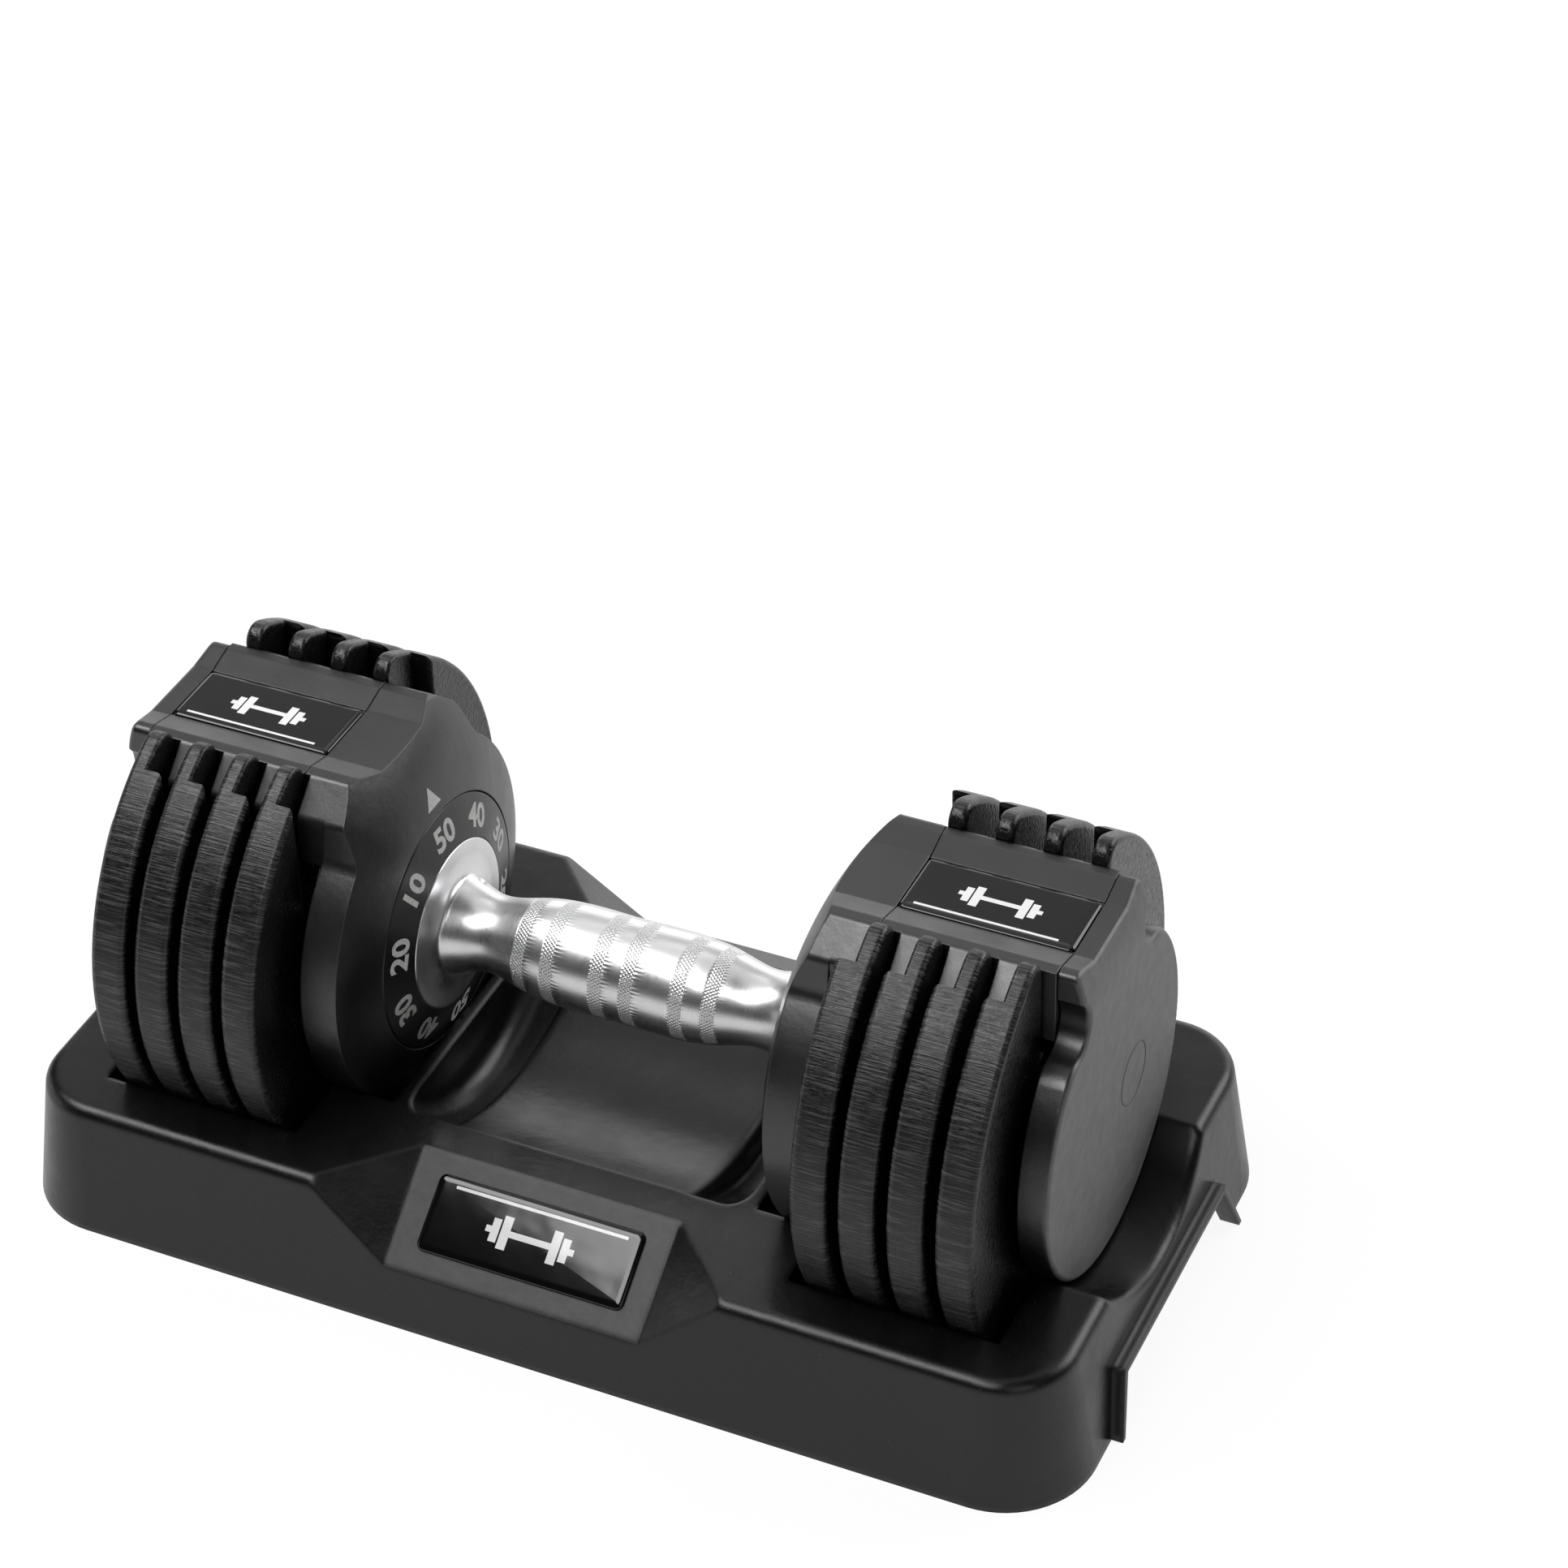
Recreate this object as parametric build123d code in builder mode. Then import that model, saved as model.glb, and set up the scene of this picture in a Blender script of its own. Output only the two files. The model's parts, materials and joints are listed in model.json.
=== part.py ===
"""Adjustable dumbbell on its storage tray.

Frame: X runs along the handle, Y to the back, Z up. The origin lies on the floor under the middle
of the tray. Each head is drawn on the +X side and mirrored to the other. Lengths are
millimetres.
"""
import os
from math import cos, hypot, radians, sin, sqrt, tan

from build123d import *

# Handle axis
axis_height = 99.4

# Weight plates
plate_count = 4
plate_radius = 95.0
plate_thickness = 14.0
plate_gap = 4.2
plate_start_gap = 6.0
web_thickness = 7.0
web_half_width = 51.0
web_bottom = -46.0
slot_half_width = 31.0
slot_hole_radius = 33.0
horn_round = 7.0
rim_round = 2.4
web_round = 1.6

# Grip
grip_disc_face = 72.7
grip_disc_radius = 33.2
grip_disc_thickness = 4.7
grip_middle_radius = 19.8
grip_shoulder_radius = 17.9
grip_shoulder_x = 40.0
grip_neck_radius = 15.0
grip_neck_inset = 14.7
grip_flare_radius = 19.0
grip_flare_inset = 3.2
grip_disc_dish = 1.5
spigot_radius = 16.0
spigot_reach = 1.0
pin_radius = 2.0
pin_inset = 6.5
pin_turn = 36.0

# Dial ring
dial_radius = 49.8
dial_thickness = 5.0
dial_gap = 0.4
dial_lip_step = 0.4

# Shaft and the stack on it
shaft_radius = 7.0
shaft_flat = 5.6
journal_radius = 5.0
disc_thickness = 5.0
sleeve_radius = 11.0
inner_bush_wall = 4.0
outer_bush_wall = 3.0
washer_radius = 13.0
washer_thickness = 2.0
nut_across_flats = 19.0
nut_height = 8.0

# Settings: five numbers, 36 degrees apart, twice round the dial
setting_step = 36.0
setting_count = 5

# Head shells
housing_radius = 71.0
housing_depth = 22.6
dome_edge_depth = 8.1
dome_top_depth = 16.1
dome_top_radius = 84.0
front_wall_depth = 10.6
cavity_radius = 61.0
seam_gap = 0.1
cap_gap = 4.9
cap_depth = 11.3
cap_radius = 65.3
cap_wall = 3.5
cap_edge_round = 2.0
cap_bow_start = 60.0
cap_bow_depth = 4.0
cap_hollow_y = 38.5
cap_hollow_height = 60.5
cap_hollow_radius = 11.5
cap_hollow_round = 14.0
sink_mark_y = 18.0
sink_mark_radius = 12.5
sink_mark_width = 0.8
sink_mark_depth = 0.25

# Roof outline, measured from the handle axis
trough_half_width = 15.5
trough_height = 77.4
ridge_inner_y = 26.0
ridge_outer_y = 30.5
ridge_height = 80.2
eave_y = 43.0
eave_height = 69.0
eave_round = 5.0
side_foot_y = 46.0
side_foot_height = 52.0
side_foot_round = 9.0
ridge_round = 3.0
cover_bottom = 49.5
cover_gap = 0.4
core_half_width = 30.5
hollow_half_width = 22.0
hollow_ceiling = 66.0
notch_before = 2.2
notch_after = 1.8

# Labels
label_half_width = 15.0
label_thickness = 1.4
label_sink = 0.8
label_side_gap = 0.4
label_round = 2.2
badge_length = 84.0
badge_width = 29.8
badge_thickness = 1.6
badge_round = 3.0
badge_drop = 22.6

# Screws
screw_radius = 2.0
screw_head_radius = 3.8
screw_head_height = 2.4
tongue_half_width = 16.0
tongue_thickness = 4.5
tongue_reach = 8.0
cover_screw_y = 8.0
cover_screw_depth = 7.5
back_screw_y = 46.0
back_screw_z = 28.0
boss_radius = 5.0
back_plate_thickness = 3.0

# Lock
lock_disc_radius = 30.0
lock_disc_thickness = 4.0
lock_disc_gap = 2.2
notch_width = 7.0
notch_depth = 7.0
lock_travel = 6.0
lock_clear = 0.6
slider_thickness = 4.0
slider_half_width = 37.0
slider_top = 46.0
window_half_width = 31.5
window_bottom = -34.0
tooth_width = 6.0
foot_half_width = 12.0
foot_lift = 1.0
leaf_thickness = 1.0
leaf_half_length = 30.0
leaf_width = 3.6
leaf_rise = 10.0

# Fits
turn_fit = 0.06
seat_fit = 0.03
free_gap = 0.4
flat_gap = 0.3
join_overlap = 2.0
same_place = 0.01
front_facing = 0.5

# Tray
tray_end_margin = 24.9
tray_half_width = 112.9
tray_corner = 35.2
tray_height = 54.0
tray_draft = 8.4
tray_wall = 3.2
tray_edge_round = 5.0
pocket_wall = 5.0
plate_pocket_gap = 1.5
flange_pocket_gap = 2.8
saddle_gap = 1.3
mouth_round = 3.0
recess_end_wall = 4.6
recess_floor = 26.2
recess_corner = 9.0
scoop_edge_round = 4.0
scoop_inset = 20.0
scoop_depth = 15.0
rib_thickness = 3.0
rib_radius = 80.0
rib_drop = 20.0
panel_top_half = 52.2
panel_top_y = 71.6
panel_bottom_half = 51.3
panel_bottom_z = 26.3
panel_corner_x = 84.9
hold_bottom_half = 60.0
hold_top_half = 50.0
hold_height = 23.0
lip_thickness = 2.6
lip_reach = 4.4

# Places along the handle, from the grip's disc outwards
grip_neck_x = grip_disc_face - grip_neck_inset
grip_flare_x = grip_disc_face - grip_flare_inset
pin_x = grip_disc_face - pin_inset
dial_face = grip_disc_face + grip_disc_thickness
dome_edge_x = dial_face + dome_edge_depth
dome_top_x = dial_face + dome_top_depth
front_wall_end = dial_face + front_wall_depth
lock_disc_start = front_wall_end + lock_disc_gap
housing_back = dial_face + housing_depth
plate_start = housing_back + plate_start_gap
plate_pitch = plate_thickness + plate_gap
plates_end = plate_start + plate_count * plate_pitch - plate_gap
web_start = plate_start + plate_thickness - web_thickness
inner_seam = web_start + seam_gap
outer_seam = plates_end + cap_gap
cap_face = outer_seam + cap_depth
plate_pocket_end = outer_seam + plate_pocket_gap
flange_pocket_start = dial_face - flange_pocket_gap
recess_half_length = flange_pocket_start - recess_end_wall
scoop_half_length = recess_half_length - scoop_inset
tray_half_length = cap_face + tray_end_margin

# Derived sizes
selector_radius = slot_hole_radius - free_gap
selector_flat = slot_half_width - flat_gap
spigot_end = front_wall_end + spigot_reach
first_disc = web_start + (web_thickness - disc_thickness) / 2
sleeve_length = plate_pitch - disc_thickness
stack_end = first_disc + (plate_count - 1) * plate_pitch + disc_thickness
nut_start = stack_end + washer_thickness
nut_end = nut_start + nut_height
cap_inside = cap_face - cap_wall
lock_slot_centre = lock_disc_start + lock_disc_thickness / 2
inner_bush_radius = spigot_radius + inner_bush_wall
outer_bush_radius = journal_radius + outer_bush_wall
pocket_radius = plate_radius + free_gap
flange_pocket_radius = housing_radius + free_gap
saddle_radius = cap_radius + saddle_gap
recess_radius = axis_height - recess_floor
hub_end = first_disc - sleeve_length
journal_end = cap_inside - free_gap
tooth_tip = lock_disc_radius + lock_clear
window_top = tooth_tip + lock_travel + lock_clear
slider_bottom = window_bottom - lock_travel
foot_tip = foot_lift - housing_radius
eave = (eave_y, eave_height)
side_foot = (side_foot_y, side_foot_height)
cover_foot = (eave_y, cover_bottom)
cap_hollow_places = [(-cap_hollow_y, cap_hollow_height), (cap_hollow_y, cap_hollow_height)]
notch_centre = core_half_width + slot_half_width
notch_places = [(-notch_centre, ridge_height), (notch_centre, ridge_height)]
screw_stations = (inner_seam + tongue_reach / 2, outer_seam - tongue_reach / 2)
cover_screw_places = [(x, y) for x in screw_stations for y in (-cover_screw_y, cover_screw_y)]
axis_line = Axis((0, 0, axis_height), (1, 0, 0))
pin_way = Vector(0, sin(radians(pin_turn)), cos(radians(pin_turn)))
pin_plane = Plane(origin=(0, 0, axis_height), x_dir=(1, 0, 0), z_dir=pin_way)
lengthwise = Plane(origin=(0, 0, axis_height), x_dir=(1, 0, 0), z_dir=(0, -1, 0))


def station(x):
    """Plane square to the handle at x, drawn about the handle axis with Y across and Z up."""
    return Plane(origin=(x, 0, axis_height), x_dir=(0, 1, 0), z_dir=(1, 0, 0))


def write(name, piece):
    """Label one finished piece and write it."""
    piece.label = name
    export_step(piece, f"parts/{name}.step")


def write_pair(name, piece, suffix=""):
    """Write a piece of the +X head and its mirror image on the other head."""
    write(f"{name}_left{suffix}", mirror(piece, about=Plane.YZ))
    write(f"{name}_right{suffix}", piece)


def roof_points(*side):
    """Corners of the roof outline: label trough, two ridges and the given corners down each side."""
    half = [
        (trough_half_width, trough_height),
        (ridge_inner_y, ridge_height),
        (ridge_outer_y, ridge_height),
        *side,
    ]
    return half + [(-y, z) for y, z in reversed(half)]


def corners_at(outline, height):
    """Corners of a drawn outline at one height above the handle axis."""
    return outline.vertices().filter_by(lambda v: abs(v.Y - height) < same_place)


def corners_on(outline, radius):
    """Corners of a drawn outline that lie on a circle about the handle axis."""
    return outline.vertices().filter_by(lambda v: abs(hypot(v.X, v.Y) - radius) < same_place)


def lengthwise_edges(builder, height):
    """Straight edges along the handle at one height above the floor."""
    along = builder.edges().filter_by(Axis.X)
    return along.filter_by(lambda e: abs(e.center().Z - height) < same_place)


def cheeks(builder, x):
    """Flat faces square to the handle at one place along it."""
    return builder.faces().filter_by(Axis.X).filter_by(lambda f: abs(f.center().X - x) < same_place)


def rims_of(builder, radius):
    """Circular edges of one radius."""
    rims = builder.edges().filter_by(GeomType.CIRCLE)
    return rims.filter_by(lambda e: abs(e.radius - radius) < same_place)


os.makedirs("parts", exist_ok=True)

# Tray: the cutter of the sloped front panel and its two corner facets
draft_inset = tray_height * tan(radians(tray_draft))
deck_half_width = tray_half_width - draft_inset
panel_bottom_y = tray_half_width - draft_inset * panel_bottom_z / tray_height
top_corner = Vector(panel_top_half, -panel_top_y, tray_height)
low_corner = Vector(panel_bottom_half, -panel_bottom_y, panel_bottom_z)
deck_corner = Vector(panel_corner_x, -deck_half_width, tray_height)
panel_up = (low_corner - top_corner).cross(Vector(1, 0, 0)).normalized()
panel_plane = Plane(origin=top_corner, x_dir=(1, 0, 0), z_dir=panel_up)
facet_out = (deck_corner - top_corner).cross(low_corner - top_corner).normalized()
facet_plane = Plane(origin=top_corner, x_dir=deck_corner - top_corner, z_dir=facet_out)
other_facet = Plane(
    origin=(-top_corner.X, top_corner.Y, top_corner.Z),
    x_dir=(-facet_plane.x_dir.X, facet_plane.x_dir.Y, facet_plane.x_dir.Z),
    z_dir=(-facet_out.X, facet_out.Y, facet_out.Z),
)
with BuildPart() as panel_cut:
    with Locations((0, -tray_half_width, tray_height)):
        Box(4 * panel_corner_x, 2 * panel_top_y, 2 * tray_height)
    split(bisect_by=panel_plane, keep=Keep.TOP)
    split(bisect_by=facet_plane, keep=Keep.BOTTOM)
    split(bisect_by=other_facet, keep=Keep.BOTTOM)

# Tray: bands of the well, each a length of round channel about the handle axis
saddle_end = tray_half_length + lip_reach
hold_start = plate_pocket_end + pocket_wall + tray_wall
channels = [
    (scoop_half_length, recess_half_length, recess_radius),
    (flange_pocket_start, housing_back, flange_pocket_radius),
    (housing_back, plate_pocket_end, pocket_radius),
    (plate_pocket_end, saddle_end, saddle_radius),
]
scoop_half_width = sqrt(recess_radius**2 - (axis_height - tray_height) ** 2)
scoop_radius = (scoop_half_width**2 + scoop_depth**2) / (2 * scoop_depth)
scoop_centre = tray_height - scoop_depth + scoop_radius - axis_height

# Tray: the room under the shell, clear of the channels' floors and of the panel
with BuildPart() as under_room:
    with BuildSketch():
        RectangleRounded(
            2 * (tray_half_length - tray_wall),
            2 * (tray_half_width - tray_wall),
            tray_corner - tray_wall,
        )
    extrude(amount=tray_height - tray_wall, taper=tray_draft)
    for start, end, radius in channels:
        for first in (start - tray_wall, -end - tray_wall):
            with BuildSketch(station(first)):
                Circle(radius + pocket_wall)
            extrude(amount=end - start + 2 * tray_wall, mode=Mode.SUBTRACT)
    with BuildSketch(station(-scoop_half_length)):
        with Locations((0, scoop_centre)):
            Circle(scoop_radius + tray_wall)
    extrude(amount=2 * scoop_half_length, mode=Mode.SUBTRACT)
    panel_room = panel_cut.part.moved(Location((0, tray_wall, -2 * tray_wall)))
    add(panel_room, mode=Mode.SUBTRACT)
    add(mirror(panel_room, about=Plane.XZ), mode=Mode.SUBTRACT)

# Tray: lips round the two hand holds in the end walls
with BuildPart() as hold_lips:
    for side in (-1, 1):
        with BuildSketch(Plane(origin=(0, 0, 0), x_dir=(0, side, 0), z_dir=(side, 0, 0))):
            Polygon(
                (-hold_bottom_half - lip_thickness, 0),
                (hold_bottom_half + lip_thickness, 0),
                (hold_top_half + lip_thickness, hold_height + lip_thickness),
                (-hold_top_half - lip_thickness, hold_height + lip_thickness),
                align=None,
            )
        extrude(amount=tray_half_length + lip_reach)
    with BuildSketch():
        RectangleRounded(
            2 * (tray_half_length + lip_reach),
            2 * (tray_half_width + lip_reach),
            tray_corner,
        )
    extrude(amount=tray_height, taper=tray_draft, mode=Mode.INTERSECT)
    with BuildSketch():
        Rectangle(2 * (tray_half_length - tray_wall), 2 * tray_half_width)
    extrude(amount=tray_height, taper=tray_draft, mode=Mode.SUBTRACT)

with BuildPart() as tray_shell:
    with BuildSketch():
        RectangleRounded(2 * tray_half_length, 2 * tray_half_width, tray_corner)
    extrude(amount=tray_height, taper=tray_draft)
    fillet(tray_shell.faces().sort_by(Axis.Z)[-1].edges(), tray_edge_round)
    add(panel_cut.part, mode=Mode.SUBTRACT)
    add(mirror(panel_cut.part, about=Plane.XZ), mode=Mode.SUBTRACT)
    with BuildSketch(station(-recess_half_length)):
        Circle(recess_radius)
    extrude(amount=2 * recess_half_length, mode=Mode.SUBTRACT)
    fillet(rims_of(tray_shell, recess_radius), recess_corner)
    with BuildSketch(station(-scoop_half_length)):
        Circle(recess_radius + join_overlap)
        with Locations((0, scoop_centre)):
            Circle(scoop_radius, mode=Mode.SUBTRACT)
        with Locations((0, tray_height - axis_height + plate_radius)):
            Rectangle(4 * plate_radius, 2 * plate_radius, mode=Mode.SUBTRACT)
    extrude(amount=2 * scoop_half_length)
    fillet(rims_of(tray_shell, scoop_radius), scoop_edge_round)
    for start, end, radius in channels[1:]:
        for first in (start, -end):
            with BuildSketch(station(first)):
                Circle(radius)
            extrude(amount=end - start, mode=Mode.SUBTRACT)
    deck_lines = lengthwise_edges(tray_shell, tray_height)
    fillet(deck_lines.filter_by(lambda e: abs(e.center().X) > housing_back), mouth_round)
    add(under_room.part, mode=Mode.SUBTRACT)
    add(hold_lips.part)
    for side in (-1, 1):
        with BuildSketch(Plane(origin=(side * hold_start, 0, 0), x_dir=(0, side, 0), z_dir=(side, 0, 0))):
            Polygon(
                (-hold_bottom_half, 0),
                (hold_bottom_half, 0),
                (hold_top_half, hold_height),
                (-hold_top_half, hold_height),
                align=None,
            )
        extrude(amount=tray_half_length, mode=Mode.SUBTRACT)
    for gap in range(plate_count - 1):
        rib_start = plate_start + plate_thickness + gap * plate_pitch + (plate_gap - rib_thickness) / 2
        for first in (rib_start, -rib_start - rib_thickness):
            with BuildSketch(station(first)):
                Circle(pocket_radius + join_overlap)
                Circle(rib_radius, mode=Mode.SUBTRACT)
                with Locations((0, plate_radius + tray_height - axis_height - rib_drop)):
                    Rectangle(4 * plate_radius, 2 * plate_radius, mode=Mode.SUBTRACT)
            extrude(amount=rib_thickness)
write("tray_shell", tray_shell.part)

# Badge on the sloped front panel
badge_centre = top_corner + (low_corner - top_corner).normalized() * badge_drop
badge_plane = Plane(origin=(0, badge_centre.Y, badge_centre.Z), x_dir=(1, 0, 0), z_dir=panel_up)
with BuildPart() as tray_badge:
    with BuildSketch(badge_plane):
        RectangleRounded(badge_length, badge_width, badge_round)
    extrude(amount=badge_thickness)
    chamfer(tray_badge.faces().sort_by(Axis((0, 0, 0), tuple(panel_up)))[-1].edges(), badge_thickness / 2)
write("tray_badge", tray_badge.part)

# Inner housing: round body and roof, domed towards the handle
with BuildPart() as inner_housing:
    with BuildSketch(station(dial_face)) as housing_outline:
        Circle(housing_radius)
        Polygon(*roof_points(eave, side_foot), align=None)
        fillet(corners_at(housing_outline, eave_height), eave_round)
        fillet(corners_on(housing_outline, housing_radius), side_foot_round)
    extrude(amount=housing_back - dial_face)
    with BuildSketch(station(housing_back)) as rear_roof:
        Polygon(*roof_points(eave, cover_foot), align=None)
        fillet(corners_at(rear_roof, eave_height), eave_round)
    extrude(amount=inner_seam - housing_back)
    fillet(lengthwise_edges(inner_housing, axis_height + ridge_height), ridge_round)
    with BuildSketch(lengthwise):
        with BuildLine():
            Polyline((dial_face, 0), (dial_face, dial_radius))
            ThreePointArc(
                (dial_face, dial_radius),
                (dome_edge_x, housing_radius),
                (dome_top_x, dome_top_radius),
            )
            Polyline(
                (dome_top_x, dome_top_radius),
                (outer_seam, 2 * dome_top_radius),
                (outer_seam, 0),
                (dial_face, 0),
            )
        make_face()
    revolve(axis=axis_line, mode=Mode.INTERSECT)
    with BuildSketch(station(dial_face)):
        Circle(dial_radius + dial_gap)
    extrude(amount=dial_thickness + dial_gap, mode=Mode.SUBTRACT)
    with BuildSketch(station(dial_face)):
        Circle(inner_bush_radius + seat_fit)
    extrude(amount=housing_back - dial_face, mode=Mode.SUBTRACT)
    with BuildSketch(station(front_wall_end)):
        Circle(cavity_radius)
        with GridLocations(2 * back_screw_y, 2 * back_screw_z, 2, 2):
            Circle(boss_radius, mode=Mode.SUBTRACT)
    extrude(amount=housing_back - front_wall_end, mode=Mode.SUBTRACT)
    with BuildSketch(station(housing_back - back_plate_thickness)):
        Circle(cavity_radius)
    extrude(amount=back_plate_thickness, mode=Mode.SUBTRACT)
    with BuildSketch(station(housing_back - back_plate_thickness)):
        with GridLocations(2 * back_screw_y, 2 * back_screw_z, 2, 2):
            Circle(screw_radius + seat_fit)
    extrude(amount=-cover_screw_depth, mode=Mode.SUBTRACT)
    with BuildSketch(station(lock_slot_centre - slider_thickness / 2 - free_gap)):
        with Locations((0, -housing_radius)):
            Rectangle(2 * (foot_half_width + free_gap), housing_radius)
    extrude(amount=slider_thickness + 2 * free_gap, mode=Mode.SUBTRACT)
    with BuildSketch(station(inner_seam - notch_before)):
        with Locations(*notch_places):
            Rectangle(2 * slot_half_width, 2 * ridge_height)
    extrude(amount=notch_before, mode=Mode.SUBTRACT)
    with BuildSketch(station(inner_seam - tongue_reach)):
        with Locations((0, hollow_ceiling - tongue_thickness / 2)):
            Rectangle(2 * tongue_half_width, tongue_thickness)
    extrude(amount=2 * tongue_reach)
    with BuildSketch(Plane.XY.offset(axis_height + hollow_ceiling)):
        with Locations(*cover_screw_places):
            Circle(screw_radius + free_gap / 2)
    extrude(amount=-tongue_thickness, mode=Mode.SUBTRACT)
write_pair("inner_housing", inner_housing.part)

# Back plate that closes the inner housing, and its screws
with BuildPart() as back_plate:
    with BuildSketch(station(housing_back - back_plate_thickness)):
        Circle(cavity_radius - seat_fit)
        Circle(sleeve_radius + free_gap, mode=Mode.SUBTRACT)
        with GridLocations(2 * back_screw_y, 2 * back_screw_z, 2, 2):
            Circle(screw_radius + free_gap / 2, mode=Mode.SUBTRACT)
    extrude(amount=back_plate_thickness)
write_pair("back_plate", back_plate.part)

with BuildPart() as back_plate_screws:
    with BuildSketch(station(housing_back - back_plate_thickness - cover_screw_depth)):
        with GridLocations(2 * back_screw_y, 2 * back_screw_z, 2, 2):
            Circle(screw_radius)
    extrude(amount=cover_screw_depth + back_plate_thickness)
    with BuildSketch(station(housing_back)):
        with GridLocations(2 * back_screw_y, 2 * back_screw_z, 2, 2):
            Circle(screw_head_radius)
    extrude(amount=screw_head_height)
write_pair("back_plate_screws", back_plate_screws.part)

# Bridge cover: roof over the plates, hollow below, with a notch for every horn
with BuildPart() as bridge_cover:
    with BuildSketch(station(inner_seam + cover_gap)) as cover_outline:
        Polygon(*roof_points(eave, cover_foot), align=None)
        fillet(corners_at(cover_outline, eave_height), eave_round)
        with Locations((0, cover_bottom)):
            Rectangle(2 * hollow_half_width, 2 * (hollow_ceiling - cover_bottom), mode=Mode.SUBTRACT)
    extrude(amount=outer_seam - inner_seam - 2 * cover_gap)
    fillet(lengthwise_edges(bridge_cover, axis_height + ridge_height), ridge_round)
    for plate in range(plate_count):
        notch_start = web_start + plate * plate_pitch - notch_before
        with BuildSketch(station(notch_start)):
            with Locations(*notch_places):
                Rectangle(2 * slot_half_width, 2 * ridge_height)
        extrude(amount=notch_before + web_thickness + notch_after, mode=Mode.SUBTRACT)
    with BuildSketch(station(plates_end)):
        with Locations(*notch_places):
            Rectangle(2 * slot_half_width, 2 * ridge_height)
    extrude(amount=outer_seam - plates_end, mode=Mode.SUBTRACT)
    with BuildSketch(Plane.XY.offset(axis_height + trough_height)):
        with Locations(((inner_seam + outer_seam) / 2, 0)):
            Rectangle(outer_seam - inner_seam, 2 * label_half_width)
    extrude(amount=-label_sink, mode=Mode.SUBTRACT)
    with BuildSketch(Plane.XY.offset(axis_height + hollow_ceiling)):
        with Locations(*cover_screw_places):
            Circle(screw_radius + seat_fit)
    extrude(amount=cover_screw_depth, mode=Mode.SUBTRACT)
write_pair("bridge_cover", bridge_cover.part)

with BuildPart() as cover_screws:
    with BuildSketch(Plane.XY.offset(axis_height + hollow_ceiling - tongue_thickness)):
        with Locations(*cover_screw_places):
            Circle(screw_radius)
    extrude(amount=cover_screw_depth + tongue_thickness)
    with BuildSketch(Plane.XY.offset(axis_height + hollow_ceiling - tongue_thickness)):
        with Locations(*cover_screw_places):
            Circle(screw_head_radius)
    extrude(amount=-screw_head_height)
write_pair("cover_screws", cover_screws.part)

# Domed label in the roof trough
with BuildPart() as head_label:
    with BuildSketch(Plane.XY.offset(axis_height + trough_height - label_sink)):
        with Locations(((inner_seam + outer_seam) / 2, 0)):
            RectangleRounded(
                outer_seam - inner_seam - 2 * label_side_gap,
                2 * (label_half_width - label_side_gap),
                label_round,
            )
    extrude(amount=label_thickness)
    chamfer(head_label.faces().sort_by(Axis.Z)[-1].edges(), label_thickness / 2)
write_pair("head_label", head_label.part)

# End cap: round cup under the roof's ridges, hollowed beside them, with a boss for the outer bush
with BuildPart() as end_cap:
    with BuildSketch(station(outer_seam)) as cap_outline:
        Circle(cap_radius)
        Polygon(*roof_points((ridge_outer_y, 0)), align=None)
        with Locations(*cap_hollow_places):
            Circle(cap_hollow_radius, mode=Mode.SUBTRACT)
        fillet(corners_on(cap_outline, cap_radius), cap_hollow_round)
    extrude(amount=cap_face - outer_seam)
    fillet(lengthwise_edges(end_cap, axis_height + ridge_height), ridge_round)
    with BuildSketch(lengthwise):
        with BuildLine():
            ThreePointArc(
                (cap_face, cap_bow_start),
                (cap_face - cap_bow_depth / 4, (cap_bow_start + ridge_height) / 2),
                (cap_face - cap_bow_depth, ridge_height),
            )
            Polyline(
                (cap_face - cap_bow_depth, ridge_height),
                (cap_face - cap_bow_depth, 2 * ridge_height),
                (cap_face, 2 * ridge_height),
                (cap_face, cap_bow_start),
            )
        make_face()
    extrude(amount=plate_radius, both=True, mode=Mode.SUBTRACT)
    cap_front = end_cap.faces().filter_by(lambda f: f.normal_at().X > front_facing)
    bow_line = axis_height + cap_bow_start
    fillet(cap_front.edges().filter_by(lambda e: abs(e.center().Z - bow_line) > same_place), cap_edge_round)
    with BuildSketch(station(outer_seam)):
        Circle(cap_radius - cap_wall)
        with Locations(*cap_hollow_places):
            Circle(cap_hollow_radius + cap_wall, mode=Mode.SUBTRACT)
    extrude(amount=cap_inside - outer_seam, mode=Mode.SUBTRACT)
    with BuildSketch(station(cap_face)):
        with Locations((sink_mark_y, 0)):
            Circle(sink_mark_radius)
            Circle(sink_mark_radius - sink_mark_width, mode=Mode.SUBTRACT)
    extrude(amount=-sink_mark_depth, mode=Mode.SUBTRACT)
    with BuildSketch(station(nut_end + free_gap)):
        Circle(outer_bush_radius + cap_wall)
        Circle(outer_bush_radius + seat_fit, mode=Mode.SUBTRACT)
    extrude(amount=cap_inside - nut_end - free_gap)
    with BuildSketch(station(outer_seam - tongue_reach)):
        with Locations((0, hollow_ceiling - tongue_thickness / 2)):
            Rectangle(2 * tongue_half_width, tongue_thickness)
    extrude(amount=2 * tongue_reach)
    with BuildSketch(Plane.XY.offset(axis_height + hollow_ceiling)):
        with Locations(*cover_screw_places):
            Circle(screw_radius + free_gap / 2)
    extrude(amount=-tongue_thickness, mode=Mode.SUBTRACT)
write_pair("end_cap", end_cap.part)

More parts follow.
